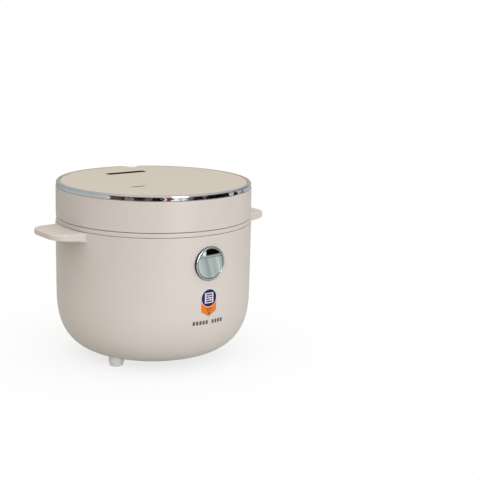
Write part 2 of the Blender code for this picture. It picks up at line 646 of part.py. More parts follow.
def steam_outlet():
    y = STEAM_Y / MM
    duct = box("steam_duct", (-29.6, y - 7.4, 176.9), (29.6, y + 7.4, 214.1), "grey_plastic", LID_AXIS)
    cut(duct, cutter_box("duct_bore", (-27.2, y - 5.2, 170), (27.2, y + 5.2, 220), LID_AXIS))
    valve = box("steam_valve", (-26.8, y - 4.8, 186), (26.8, y + 4.8, 214.4), "black_plastic", VALVE_AXIS)
    for i in range(3):
        x = -17 + 17 * i
        cut(valve, cutter_box(f"valve_slot_{i}", (x - 6.5, y - 2.1, 180), (x + 6.5, y + 2.1, 220), VALVE_AXIS))


def pot():
    corner = arc((80.0 * MM - POT_CORNER, POT_BASE_Z + POT_CORNER), POT_CORNER, 0, -90, 4)
    profile = [(POT_FLANGE_R, POT_FLANGE_Z), (83.2 * MM, POT_FLANGE_Z), (POT_R, 163.2 * MM)]
    profile += [*corner, (0, POT_BASE_Z)]
    thin_turned("inner_pot", profile, POT_SHEET, "pot_coating", POT_AXIS)


def basket():
    corner = arc((74.6 * MM - 13 * MM, BASKET_BASE_Z + 13 * MM), 13 * MM, 0, -90, 3)
    profile = [(BASKET_FLANGE_R, BASKET_FLANGE_Z), (78.2 * MM, BASKET_FLANGE_Z), (BASKET_R, 165.2 * MM)]
    profile += [*corner, (0, BASKET_BASE_Z)]
    obj = thin_turned("steam_basket", profile, BASKET_SHEET, "steel", BASKET_AXIS)
    z = BAIL_Z / MM
    for side in (-1, 1):
        hole = cutter_rod(f"bail_hole_{side}", (side * 70, 0, z), (side * 81, 0, z), 2.1 * MM, BASKET_AXIS, 12)
        cut(obj, hole)

    rising = [(78.0, 0), (75.2, 0), (73.2, 0.8), (72.4, 2.8)]
    bow = [(BAIL_R / MM * cos(radians(a)), BAIL_R / MM * sin(radians(a))) for a in (8, 18, 28, 38, 48, 58, 68)]
    grip = [(20.5, 69.2), (13.5, 69.6), (7.0, 67.2), (0.0, 66.2)]
    half = rising + bow + grip
    path = half + [(-x, reach) for x, reach in reversed(half[:-1])]
    bail = wire("bail_handle", [(x * MM, -reach * MM, 0) for x, reach in path], BAIL_WIRE_R, "steel", BAIL_AXIS)
    bail.location = (0, 0, 0)


clear_scene()
PARTS = new_collection("rice_cooker")
CUTTERS = new_collection("cutters")

FOOTPRINT = empty("footprint", (0, 0, 0))
AXIS = empty("cooker_axis", (0, 0, 0), FOOTPRINT)
AXIS.location.y = AXIS_Y
LID_AXIS = empty("lid_axis", (0, HINGE_Y, HINGE_Z), AXIS)
VALVE_AXIS = empty("valve_axis", (0, STEAM_Y, TOP_Z), LID_AXIS)
BUTTON_AXIS = empty("button_axis", (0, BUTTON_FACE_Y, BUTTON_Z), AXIS)
LATCH_AXIS = empty("latch_axis", (0, LATCH_Y, LATCH_PIVOT_Z), AXIS)
SENSOR_AXIS = empty("sensor_axis", (0, 0, HEATER_TOP_Z), AXIS)
POT_AXIS = empty("pot_axis", (0, 0, POT_BASE_Z), AXIS)
BASKET_AXIS = empty("basket_axis", (0, 0, BASKET_BASE_Z), POT_AXIS)
BAIL_AXIS = empty("bail_axis", (0, 0, BAIL_Z), BASKET_AXIS)
BAIL_AXIS.rotation_euler.x = BAIL_REST

ENVELOPE = casing_envelope("casing_envelope", GAP)
outer_shell()
base_plate()
feet(ENVELOPE)
body_collar()
handle(-1, ENVELOPE)
handle(1, ENVELOPE)
well()
heater()
sensor()
electrics()
power_inlet(ENVELOPE)
release_button(ENVELOPE)
front_badge(ENVELOPE)
latch()
hinge(ENVELOPE)
lid_casing()
lid_underside()
steam_outlet()
pot()
basket()
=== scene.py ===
"""The looks of the rice cooker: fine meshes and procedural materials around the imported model.

Sizes are in millimetres from the cooker's own axis and from the table, as read from the frame, and `placed`
turns them into metres.
"""

import json
from math import atan2, cos, pi, radians, sin, tan

import bmesh
import bpy
from mathutils import Matrix, Vector


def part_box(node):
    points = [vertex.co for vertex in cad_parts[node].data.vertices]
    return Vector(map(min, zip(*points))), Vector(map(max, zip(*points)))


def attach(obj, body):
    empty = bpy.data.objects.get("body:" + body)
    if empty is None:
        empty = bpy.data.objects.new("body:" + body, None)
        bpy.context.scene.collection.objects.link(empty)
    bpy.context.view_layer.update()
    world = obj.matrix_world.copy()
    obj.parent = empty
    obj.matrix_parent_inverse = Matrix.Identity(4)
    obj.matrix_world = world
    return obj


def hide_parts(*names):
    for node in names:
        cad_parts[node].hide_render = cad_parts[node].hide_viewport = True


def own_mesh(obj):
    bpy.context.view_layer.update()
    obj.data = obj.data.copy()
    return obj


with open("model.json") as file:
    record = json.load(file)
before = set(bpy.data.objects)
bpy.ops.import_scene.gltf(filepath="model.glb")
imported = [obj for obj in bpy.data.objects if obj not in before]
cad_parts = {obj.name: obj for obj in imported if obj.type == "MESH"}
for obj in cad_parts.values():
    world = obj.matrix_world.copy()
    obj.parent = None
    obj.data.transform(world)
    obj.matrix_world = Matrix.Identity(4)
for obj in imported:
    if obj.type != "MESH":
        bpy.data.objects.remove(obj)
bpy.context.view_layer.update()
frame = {"nodes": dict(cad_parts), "record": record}

MM = 0.001
FINE = 192  # facets round a large turned piece
TURN = 2 * pi

# The cooker's own axis, halfway across the lid
LID_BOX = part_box("chrome_ring")
AXIS = Vector(((LID_BOX[0][0] + LID_BOX[1][0]) / 2, (LID_BOX[0][1] + LID_BOX[1][1]) / 2, 0.0))


def low(node, axis):
    """A CAD node's lowest coordinate along an axis, in millimetres from the cooker's axis."""
    return (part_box(node)[0][axis] - AXIS[axis]) / MM


def high(node, axis):
    return (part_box(node)[1][axis] - AXIS[axis]) / MM


def span(node, axis):
    return low(node, axis), high(node, axis)


def middle(node, axis):
    return (low(node, axis) + high(node, axis)) / 2


# Levels and radii of the casing, from the frame
CHROME_LOW_Z, TOP_Z = span("chrome_ring", 2)
PANEL_LOW_Z, PANEL_Z = span("top_panel", 2)
PANEL_R = high("top_panel", 0)
LID_R = high("lid_shell", 0)
LID_LOW_Z, LID_WALL_TOP_Z = span("lid_shell", 2)
COLLAR_R = high("body_collar", 0)
COLLAR_FOOT_Z, COLLAR_TOP_Z = span("body_collar", 2)
SHELL_R = high("outer_shell", 0)
SHELL_TOP_Z = high("outer_shell", 2)
COLLAR_LOW_Z = SHELL_TOP_Z + 0.6
WALL = 2.4

# The wall of the shell: a slight draft, then a superellipse quarter
BOWL_TOP_Z = 86.2
BOWL_TOP_R = SHELL_R - 0.4
BOWL_CORE_R = 41.0
BOWL_POWER = 2.8
BASE_OPENING_R = 66.0
BOWL_FLOOR_Z = 4.8

# Button, hinge axis and steam slot
BUTTON_Z = middle("release_button", 2)
BUTTON_FACE_Y = low("release_button", 1)
HINGE_Y, HINGE_Z = middle("hinge_pin", 1), middle("hinge_pin", 2)
HINGE = HINGE_Y, HINGE_Z
SLOT_Y = middle("steam_valve", 1)


# ---------- meshes

def placed(point):
    return Vector(point) * MM + AXIS


def piece_from(name, shape, closed=True):
    """A new object from a bmesh in millimetres from the cooker's axis, shaded smooth with crisp edges."""
    if closed:
        bmesh.ops.recalc_face_normals(shape, faces=shape.faces)
    for vert in shape.verts:
        vert.co = placed(vert.co)
    piece = linked(name, mesh_of(name, shape))
    smooth(piece)
    return piece


def mesh_of(name, shape):
    mesh = bpy.data.meshes.new(name)
    shape.to_mesh(mesh)
    shape.free()
    return mesh


def linked(name, data):
    """A new object in the scene."""
    made = bpy.data.objects.new(name, data)
    bpy.context.scene.collection.objects.link(made)
    return made


def smooth(piece, angle=32.0):
    mesh = piece.data
    mesh.polygons.foreach_set("use_smooth", [True] * len(mesh.polygons))
    mesh.set_sharp_from_angle(angle=radians(angle))


def modified(piece, kind, **settings):
    """Applies a modifier to a piece's mesh."""
    modifier = piece.modifiers.new("step", kind)
    for key, value in settings.items():
        setattr(modifier, key, value)
    graph = bpy.context.evaluated_depsgraph_get()
    piece.data = bpy.data.meshes.new_from_object(piece.evaluated_get(graph))
    piece.modifiers.clear()
    smooth(piece)


def carve(piece, cutter, operation="DIFFERENCE"):
    modified(piece, "BOOLEAN", object=cutter, operation=operation, solver="EXACT")
    bpy.data.objects.remove(cutter)


def bevelled(piece, width, segments=3, angle=40.0):
    modified(piece, "BEVEL", width=width * MM, segments=segments, angle_limit=radians(angle),
             limit_method="ANGLE", use_clamp_overlap=True)


def rounded(corners, closed=True, steps=5):
    """A line through corners (a, b, fillet radius), with each corner turned into an arc."""
    points = []
    count = len(corners)
    for i, (a, b, size) in enumerate(corners):
        here = Vector((a, b))
        if not size or (not closed and i in (0, count - 1)):
            points.append((a, b))
            continue
        back = Vector(corners[i - 1][:2]) - here
        ahead = Vector(corners[(i + 1) % count][:2]) - here
        half = back.angle(ahead) / 2
        reach = min(size / tan(half), 0.48 * back.length, 0.48 * ahead.length)
        radius = reach * tan(half)
        centre = here + (back.normalized() + ahead.normalized()).normalized() * (radius / sin(half))
        start = here + back.normalized() * reach - centre
        end = here + ahead.normalized() * reach - centre
        first = atan2(start.y, start.x)
        sweep = (atan2(end.y, end.x) - first + pi) % TURN - pi
        angles = [first + sweep * k / steps for k in range(steps + 1)]
        points += [(centre.x + radius * cos(angle), centre.y + radius * sin(angle)) for angle in angles]
    return points


def circle(radius, count=32, centre=(0.0, 0.0)):
    angles = [TURN * i / count for i in range(count)]
    return [(centre[0] + radius * cos(angle), centre[1] + radius * sin(angle)) for angle in angles]


def ring_of(shape, radius, height, segments=FINE):
    if radius < 1e-6:
        return [shape.verts.new((0.0, 0.0, height))] * segments
    return [shape.verts.new((x, y, height)) for x, y in circle(radius, segments)]


def bridge(shape, upper, lower):
    """Faces between two rings, either of which may be a single point."""
    count = len(upper)
    for i in range(count):
        j = (i + 1) % count
        corners = [upper[i], lower[i], lower[j], upper[j]]
        unique = list(dict.fromkeys(corners))
        if len(unique) > 2:
            shape.faces.new(unique)


def turned(name, profile, closed=True, segments=FINE, at=(0, 0, 0), along="Z"):
    """A profile of (radius, height) turned about Z through a point, or about Y with height towards -Y."""
    shape = bmesh.new()
    rings = [ring_of(shape, r, z, segments) for r, z in profile]
    for upper, lower in zip(rings, rings[1:]):
        bridge(shape, upper, lower)
    if closed and profile[0][0] > 1e-6:
        bridge(shape, rings[-1], rings[0])
    if along == "Y":
        bmesh.ops.rotate(shape, matrix=Matrix.Rotation(pi / 2, 3, "X"), verts=shape.verts)
    bmesh.ops.translate(shape, vec=at, verts=shape.verts)
    return piece_from(name, shape)


def revolved(name, corners, closed=True, steps=5, **options):
    """A turned piece from corners (radius, height, fillet radius)."""
    return turned(name, rounded(corners, closed, steps), closed, **options)


def prisms(name, outlines, start, end, plane="XY"):
    """One piece of outlines, extruded from start to end along the axis their plane leaves out."""
    def corner(a, b, c):
        return {"XY": (a, b, c), "XZ": (a, c, b), "YZ": (c, a, b)}[plane]

    shape = bmesh.new()
    for outline in outlines:
        first = [shape.verts.new(corner(a, b, start)) for a, b in outline]
        last = [shape.verts.new(corner(a, b, end)) for a, b in outline]
        shape.faces.new(first)
        shape.faces.new(reversed(last))
        bridge(shape, first, last)
    return piece_from(name, shape)


def prism(name, outline, start, end, plane="XY"):
    return prisms(name, [outline], start, end, plane)


def block(name, low_corner, high_corner):
    (x1, y1, z1), (x2, y2, z2) = low_corner, high_corner
    return prism(name, [(x1, y1), (x2, y1), (x2, y2), (x1, y2)], z1, z2)


def cut_block(piece, low_corner, high_corner):
    carve(piece, block("cutter", low_corner, high_corner))


def cut(piece, outline, start, end, plane="XY", operation="DIFFERENCE"):
    """An extruded outline taken out of a piece, or joined to it."""
    carve(piece, prism("cutter", outline, start, end, plane), operation)


def rectangle(width, depth, fillet, centre=(0.0, 0.0)):
    x, y = centre
    signs = (-1, -1), (1, -1), (1, 1), (-1, 1)
    return rounded([(x + i * width / 2, y + j * depth / 2, fillet) for i, j in signs])


def at_angle(radius, degrees):
    """A place on a circle, by its angle from the front towards +X."""
    return radius * sin(radians(degrees)), -radius * cos(radians(degrees))


def tube(name, points, radius, sides=12):
    """A round wire along points, as a mesh with closed ends."""
    path = [Vector(point) for point in points]
    shape = bmesh.new()
    rings = []
    side = (path[1] - path[0]).orthogonal().normalized()
    for before, here, after in zip(path[:1] + path, path, path[1:] + path[-1:]):
        ahead = (after - before).normalized()
        side = (side - ahead * side.dot(ahead)).normalized()
        up = ahead.cross(side)
        rings.append([shape.verts.new(here + side * a + up * b) for a, b in circle(radius, sides)])
    for a, b in zip(rings, rings[1:]):
        bridge(shape, a, b)
    for end in (rings[0], rings[-1]):
        shape.faces.new(end)
    return piece_from(name, shape)


def catmull(path, steps):
    """Points on a smooth curve through every point of a path."""
    ends = [2 * path[0] - path[1], *path, 2 * path[-1] - path[-2]]
    result = []
    for a, b, c, d in zip(ends, ends[1:], ends[2:], ends[3:]):
        square, cube = 2 * a - 5 * b + 4 * c - d, 3 * b - a - 3 * c + d
        for t in (k / steps for k in range(steps)):
            result.append(0.5 * (2 * b + (c - a) * t + square * t**2 + cube * t**3))
    return [*result, path[-1]]


def wall_radius(z, grow=0.0):
    """The outer radius of the casing at a height."""
    if z >= BOWL_TOP_Z:
        return SHELL_R + grow - (SHELL_R - BOWL_TOP_R) * (SHELL_TOP_Z - z) / (SHELL_TOP_Z - BOWL_TOP_Z)
    drop = min(1.0, (BOWL_TOP_Z - z) / (BOWL_TOP_Z - BOWL_FLOOR_Z))
    return BOWL_CORE_R + (BOWL_TOP_R - BOWL_CORE_R) * (1 - drop**BOWL_POWER) ** (1 / BOWL_POWER) + grow


def bowl_line(count, grow=0.0):
    """The casing's outer side from where the bowl starts down to the base opening."""
    width, height = BOWL_TOP_R - BOWL_CORE_R + grow, BOWL_TOP_Z - BOWL_FLOOR_Z + grow
    opening = ((BASE_OPENING_R - BOWL_CORE_R) / width) ** (BOWL_POWER / 2)
    last = pi / 2 - opening - opening**3 / 6
    return [
        (
            BOWL_CORE_R + width * cos(last * i / count) ** (2 / BOWL_POWER),
            BOWL_TOP_Z - height * sin(last * i / count) ** (2 / BOWL_POWER),
        )
        for i in range(count + 1)
    ]


def envelope(grow, top=230.0):
    """A solid that fills the casing and the air above it, to cut what sits against its outside."""
    profile = [(0.0, top), (SHELL_R + grow, top), (SHELL_R + grow, SHELL_TOP_Z), *bowl_line(48, grow)]
    profile.append((0.0, profile[-1][1]))
    return turned("envelope", profile)


def skin(proud, upper_z, lower_z, rows=24):
    """A thin sleeve on the casing's wall between two heights, for labels."""
    heights = [upper_z + (lower_z - upper_z) * i / rows for i in range(rows + 1)]
    profile = [(wall_radius(z, proud), z) for z in heights]
    profile += [(wall_radius(z, 0.02), z) for z in reversed(heights)]
    return turned("skin", profile, segments=720)


def coil(radius, start, end, turns):
    """Points (a, b, along) of a helix with 24 points a turn."""
    count = turns * 24
    steps = [(TURN * i / 24, start + (end - start) * i / count) for i in range(count + 1)]
    return [(radius * cos(angle), radius * sin(angle), along) for angle, along in steps]


# ---------- materials

class Surface:
    """A material being built: its node tree, its shader and the object-space position."""

    def __init__(self, name, colour, roughness, metallic=0.0):
        self.colour, self.roughness = colour, roughness
        self.material = bpy.data.materials.new("look_" + name)
        self.material.use_nodes = True
        self.tree = self.material.node_tree
        self.shader = self.tree.nodes["Principled BSDF"]
        self.set({"Base Color": (*colour, 1.0), "Roughness": roughness, "Metallic": metallic})
        self.place = self.add("ShaderNodeTexCoord").outputs["Object"]

    def set(self, values):
        for socket, value in values.items():
            self.shader.inputs[socket].default_value = value

    def add(self, kind, inputs=None, **settings):
        node = self.tree.nodes.new(kind)
        for key, value in settings.items():
            setattr(node, key, value)
        for key, value in (inputs or {}).items():
            if isinstance(value, bpy.types.NodeSocket):
                self.tree.links.new(value, node.inputs[key])
            else:
                node.inputs[key].default_value = value
        return node

    def noise(self, scale, detail=2.0, rough=0.5, stretch=None):
        place = self.place
        if stretch:
            place = self.add("ShaderNodeMapping", {"Vector": place, "Scale": stretch}).outputs["Vector"]
        inputs = {"Vector": place, "Scale": scale, "Detail": detail, "Roughness": rough}
        return self.add("ShaderNodeTexNoise", inputs).outputs["Fac"]

    def math(self, operation, *values):
        return self.add("ShaderNodeMath", dict(enumerate(values)), operation=operation).outputs["Value"]

    def cells(self, scale):
        return self.add("ShaderNodeTexVoronoi", {"Vector": self.place, "Scale": scale}).outputs["Distance"]

    def spread(self, value, low_end, high_end, start=0.3, end=0.7):
        return self.add("ShaderNodeMapRange", {
            "Value": value, "From Min": start, "From Max": end, "To Min": low_end, "To Max": high_end,
        }).outputs["Result"]

    def tint(self, factor, first, second):
        """The colour moves between two tones with a factor."""
        mix = self.add("ShaderNodeMix", {0: factor, 6: (*first, 1.0), 7: (*second, 1.0)}, data_type="RGBA")
        self.tree.links.new(mix.outputs[2], self.shader.inputs["Base Color"])

    def mottle(self, factor, change):
        self.tint(factor, *tones(self.colour, change))

    def gloss(self, value, below, above, start=0.3, end=0.7):
        """The roughness wanders a little to either side of its own value."""
        value = self.spread(value, self.roughness - below, self.roughness + above, start, end)
        self.tree.links.new(value, self.shader.inputs["Roughness"])

    def bump(self, height, distance, strength=1.0):
        node = self.add("ShaderNodeBump", {"Height": height, "Strength": strength, "Distance": distance})
        self.tree.links.new(node.outputs["Normal"], self.shader.inputs["Normal"])


def tones(colour, change):
    """Two tones either side of a colour."""
    return [tuple(min(1.0, c * (1 + sign * change)) for c in colour) for sign in (-1, 1)]


def moulded(look, grain=1400.0, depth=0.000012):
    """Injection-moulded plastic: fine spark-eroded grain, faint mottling and uneven gloss."""
    look.mottle(look.spread(look.noise(14.0, 4.0), 0.0, 1.0), 0.018)
    look.gloss(look.noise(60.0, 3.0), 0.035, 0.035)
    look.bump(look.noise(grain, 2.0, 0.6), depth)


def acrylic(look):
    """A flat moulded window: almost even, under a thin hard coat."""
    look.mottle(look.noise(7.0, 1.0), 0.012)
    look.gloss(look.noise(11.0, 1.0), 0.02, 0.02)
    look.bump(look.noise(30.0, 1.0), 0.000004)
    look.set({"Coat Weight": 0.15, "Coat Roughness": 0.15})


def plated(look):
    """Chrome plate: a mirror with faint haze and hairline polish marks."""
    look.mottle(look.noise(30.0), 0.02)
    look.gloss(look.noise(45.0, 4.0, 0.6), look.roughness * 0.4, look.roughness * 0.8)
    look.bump(look.noise(260.0), 0.000002)


def sheet_metal(look, stretch=(1.0, 1.0, 40.0), scale=60.0, depth=0.000006):
    """Rolled or spun metal: fine lines along one direction, with cloudy handling marks."""
    lines = look.noise(scale, 4.0, 0.65, stretch)
    clouds = look.noise(18.0, 4.0, 0.6)
    look.mottle(clouds, 0.05)
    look.gloss(look.math("ADD", lines, clouds), 0.06, 0.10, 0.7, 1.3)
    look.bump(lines, depth)


def cast_metal(look):
    """Die-cast aluminium: grainy, with darker specks."""
    look.mottle(look.noise(90.0, 5.0, 0.7), 0.08)
    look.gloss(look.noise(200.0, 3.0), 0.08, 0.08)
    look.bump(look.cells(700.0), 0.00003, 0.5)


def coated(look):
    """Sprayed non-stick coating: orange-peel surface with fine pale flecks."""
    flecks = look.spread(look.cells(900.0), 0.0, 1.0, 0.02, 0.16)
    look.tint(flecks, tones(look.colour, 0.14)[1], look.colour)
    look.gloss(look.noise(120.0, 3.0), 0.05, 0.06)
    look.bump(look.noise(420.0), 0.00002)


def silicone(look):
    """Milky silicone rubber: light passes into it, and dust dulls it unevenly."""
    look.mottle(look.noise(50.0, 4.0), 0.03)
    look.gloss(look.noise(160.0, 4.0), 0.08, 0.1)
    look.bump(look.noise(900.0), 0.00001)
    depths = 0.004, 0.003, 0.002  # of red, green and blue light, in metres
    look.set({"Subsurface Weight": 0.35, "Subsurface Radius": depths, "Subsurface Scale": 1.0})


def solder_mask(look):
    """A circuit board: copper tracks showing darker and lighter through green lacquer."""
    tracks = look.add("ShaderNodeTexBrick", {
        "Vector": look.place, "Scale": 160.0, "Mortar Size": 0.035, "Color1": (*look.colour, 1.0),
        "Color2": (*tones(look.colour, 0.25)[1], 1.0), "Mortar": (0.02, 0.12, 0.05, 1.0),
    })
    look.tree.links.new(tracks.outputs["Color"], look.shader.inputs["Base Color"])
    look.gloss(look.noise(80.0), 0.05, 0.1)
    look.bump(tracks.outputs["Fac"], 0.00003)


def printed(look):
    """Ink on a glossy film, laid in very fine dots."""
    look.mottle(look.spread(look.cells(2600.0), 0.0, 1.0, 0.0, 0.6), 0.06)
    look.gloss(look.noise(150.0), 0.05, 0.08)
    look.bump(look.noise(300.0), 0.000004)


def finished(name, kind, colour, roughness, *options):
    """A material of a kind of finish, which adds its own detail to the plain colour."""
    metallic = 1.0 if kind in (plated, sheet_metal, cast_metal) else 0.0
    look = Surface(name, colour, roughness, metallic)
    kind(look, *options)
    return look.material


# Name, kind, colour, roughness and the kind's own options: one for each slot of the record, then the rest
LOOKS = {name: finished(name, *values) for name, *values in (
    ("cream_plastic", moulded, (0.625, 0.565, 0.516), 0.40),
    ("panel_cream", acrylic, (0.622, 0.551, 0.468), 0.32),
    ("chrome", plated, (0.86, 0.87, 0.88), 0.020),
    ("steel", sheet_metal, (0.66, 0.66, 0.655), 0.20),
    ("aluminium", cast_metal, (0.66, 0.67, 0.68), 0.36),
    ("pot_coating", coated, (0.62, 0.55, 0.49), 0.33),
    ("black_plastic", moulded, (0.018, 0.018, 0.020), 0.42, 900.0, 0.00003),
    ("grey_plastic", moulded, (0.46, 0.43, 0.40), 0.46),
    ("silicone", silicone, (0.77, 0.76, 0.73), 0.50),
    ("circuit_board", solder_mask, (0.03, 0.20, 0.08), 0.35),
    ("wire_red", moulded, (0.45, 0.05, 0.04), 0.45, 600.0),
    ("badge", printed, (0.010, 0.004, 0.034), 0.36),
    ("badge_orange", printed, (0.70, 0.165, 0.003), 0.40),
    ("badge_pale", printed, (0.66, 0.62, 0.80), 0.34),
    ("print_grey", printed, (0.09, 0.08, 0.07), 0.42),
    ("print_brown", printed, (0.20, 0.04, 0.01), 0.40),
    ("icon_grey", printed, (0.045, 0.040, 0.034), 0.35),
    ("icon_pale", printed, (0.50, 0.45, 0.40), 0.35),
    ("basket_steel", sheet_metal, (0.70, 0.70, 0.69), 0.10, (1.0, 1.0, 12.0), 40.0, 0.000003),
)}


def settle(piece, slot, body, *nodes, look=None):
    """Gives a piece its finish and its body, and lets it stand for CAD nodes."""
    piece.data.materials.clear()
    piece.data.materials.append(LOOKS[look or slot])
    normals = piece.modifiers.new("normals", "WEIGHTED_NORMAL")
    normals.keep_sharp = True
    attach(piece, body)
    if nodes:
        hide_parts(*nodes)
    return piece


def finish_cad_nodes():
    """Every CAD node that stays takes the look of its slot in the record."""
    for part in frame["record"]["subparts"]:
        node = frame["nodes"].get(part["node"])
        if node is not None:
            node.data.materials.clear()
            node.data.materials.append(LOOKS[part["material_slot"]])


# ---------- the casing

def casing():
    """The bowl-shaped shell, with a soft top edge, a turned-in base and its two openings."""
    ledge_r, ledge_z = 52.0, 9.6
    top = (SHELL_R - WALL, SHELL_TOP_Z, 0.4), (SHELL_R, SHELL_TOP_Z, 0.8), (BOWL_TOP_R, BOWL_TOP_Z, 0)
    profile = rounded(top, closed=False)[:-1] + bowl_line(56)
    underside = [(*profile[-1], 0), (BASE_OPENING_R, ledge_z, 0.3), (ledge_r, ledge_z, 0)]
    profile += rounded(underside, closed=False)[1:] + [(ledge_r, ledge_z + WALL)]
    profile += [p for p in reversed(bowl_line(40, -WALL)) if p[1] > ledge_z + WALL + 0.2]
    shell = turned("shell_wall", profile)
    button_r = 19.6
    cut(shell, circle(button_r, 64, (0, BUTTON_Z)), -130, -108, "XZ")
    (x1, x2), (z1, z2) = span("power_inlet", 0), span("power_inlet", 2)
    cut_block(shell, (x1 + 3, 108, z1 + 2.5), (x2 - 3, 126, z2 - 2.5))
    settle(shell, "cream_plastic", "root", "outer_shell")


def collar():
    """The band between the lid and the shell, with the lead-in that guides the pot."""
    band, skirt, inner = COLLAR_R, COLLAR_R - 2.5, COLLAR_R - 4.5
    top, foot = COLLAR_TOP_Z, COLLAR_FOOT_Z
    ring = revolved("collar_band", [
        (band, top, 0.6), (band, COLLAR_LOW_Z, 0.3), (skirt, COLLAR_LOW_Z, 0.2), (skirt, foot, 0.4),
        (inner, foot, 0.4), (inner, top - 2.4, 0.5), (99.0, top - 2.4, 1.5), (94.4, 167.4, 0.8),
        (94.4, 165.2, 0.3), (91.5, 165.2, 0.3), (91.5, 169.2, 1.2), (97.5, top, 2.0),
    ], steps=4)
    cut_block(ring, (-8.5, -112.5, 158), (8.5, -100.8, 180))
    settle(ring, "cream_plastic", "root", "body_collar")


def narrowed(outline, inset):
    """A clockwise outline moved inwards by a small distance."""
    points = [Vector(point) for point in outline]
    result = []
    for before, here, after in zip(points[-1:] + points[:-1], points, points[1:] + points[:1]):
        along = (after - before).normalized()
        result.append((here.x + along.y * inset, here.y - along.x * inset))
    return result


def handle(side):
    """A wing with a flared, block-ended root, rounded outer corners and an underside that rises outwards."""
    name = "left" if side < 0 else "right"
    tip_x, top = high("handle_right", 0), high("handle_" + name, 2)
    waist, flare, corner_r, tip_low_z, slope = 33.5, 2.0, 20.0, 161.2, tan(radians(6.3))
    half = [(106.0 + i, waist + flare * 2.718 ** (-max(0.0, i - 12.0) / 4.0)) for i in range(28)]
    half += [
        (tip_x - corner_r + corner_r * cos(a), waist - corner_r + corner_r * sin(a))
        for a in (pi / 2 * (1 - i / 20) for i in range(21))
    ]
    outline = half + [(x, -y) for x, y in reversed(half)]

    edge_r = 1.6
    turns = [(edge_r * (1 - sin(a)), edge_r * (1 - cos(a))) for a in (pi / 2 * k / 5 for k in range(6))]
    levels = [(inset, top - drop, 0.0) for inset, drop in turns]
    levels += [(inset, tip_low_z + rise, slope) for inset, rise in reversed(turns)]
    shape = bmesh.new()
    rings = [
        [shape.verts.new((side * x, y, level - (tip_x - x) * lean)) for x, y in narrowed(outline, inset)]
        for inset, level, lean in levels
    ]
    shape.faces.new(rings[0])
    shape.faces.new(reversed(rings[-1]))
    for upper, lower in zip(rings, rings[1:]):
        bridge(shape, upper, lower)
    wing = piece_from("grip_" + name, shape)
    carve(wing, envelope(-0.4))
    settle(wing, "cream_plastic", "root", "handle_" + name)


def base():
    """The plate that closes the casing from below, with vents and stiffening rings."""
    rim, (under, upper) = high("base_plate", 0), span("base_plate", 2)
    inner, floor, groove = rim - 2.1, under + 2.0, under + 0.7
    corners = [
        (0, under, 0), (18, under, 0.3), (18.8, groove, 0.3), (20.0, groove, 0.3), (20.8, under, 0.3),
        (48, under, 0.3), (48.8, groove, 0.3), (50, groove, 0.3), (50.8, under, 0.3),
        (rim, under, 0.8), (rim, upper, 0.4), (inner, upper, 0.4), (inner, floor, 0.5), (0, floor, 0),
    ]
    plate = turned("base_cover", rounded(corners, closed=False, steps=3)[::-1], closed=False)
    vents = [rectangle(44, 4, 1.9, (0, -28 + 14 * i)) for i in range(5)]
    vents += [circle(1.9, 24, at_angle(58.0, 60 + 120 * i)) for i in range(3)]
    carve(plate, prisms("vents", vents, under - 2, upper + 2))
    settle(plate, "cream_plastic", "root", "base_plate")


def screw(number):
    """A cross-head screw in the base plate."""
    node = f"base_screw_{number}"
    place = middle(node, 0), middle(node, 1)
    head, tip = span(node, 2)
    piece = revolved(f"cross_screw_{number}", [
        (0, tip, 0), (0.8, tip, 0.2), (1.5, tip - 2, 0.2), (1.5, head + 1.6, 0.1), (3.4, head + 1.6, 0.2),
        (3.1, head, 0.9), (0, head, 0),
    ], closed=False, segments=40, at=(*place, 0))
    for width, depth in ((3.6, 0.8), (0.8, 3.6)):
        cut(piece, rectangle(width, depth, 0.1, place), head - 1, head + 0.9)
    settle(piece, "steel", "root", node)


def feet():
    for node in ("foot_front_left", "foot_front_right", "foot_rear_left", "foot_rear_right"):
        corners = [(0, 20, 0), (9.6, 20, 0), (9.2, 4.6, 0.5), (8.5, 4.2, 0.4), (8.1, 0, 1.5), (0, 0, 0)]
        place = middle(node, 0), middle(node, 1), 0
        foot = revolved(node + "_pad", corners, closed=False, segments=64, at=place)
        carve(foot, envelope(-0.2))
        settle(foot, "silicone", "root", node)


def power_socket():
    """The inlet on the rear wall: a flange and a six-sided cavity for the plug round the blade pins."""
    (x1, x2), (z1, z2), (back, face) = (span("power_inlet", axis) for axis in (0, 2, 1))
    z = middle("power_inlet", 2)
    flange = prism("socket_flange", rectangle(x2 - x1, z2 - z1, 3.2, (0, z)), 110, face, "XZ")
    carve(flange, envelope(0.1))
    bevelled(flange, 0.7)
    cut(flange, rectangle(29, 21, 2.5, (0, z)), back, face - 0.8, "XZ", "UNION")
    a, b, cant = 12.0, 8.0, 3.5
    cavity = (-a, -b), (a, -b), (a, b - cant), (a - cant, b), (cant - a, b), (-a, b - cant)
    cut(flange, rounded([(x, z + rise, 0.8) for x, rise in cavity]), back + 2.5, face + 5, "XZ")
    settle(flange, "black_plastic", "root", "power_inlet")


# ---------- button, label, latch

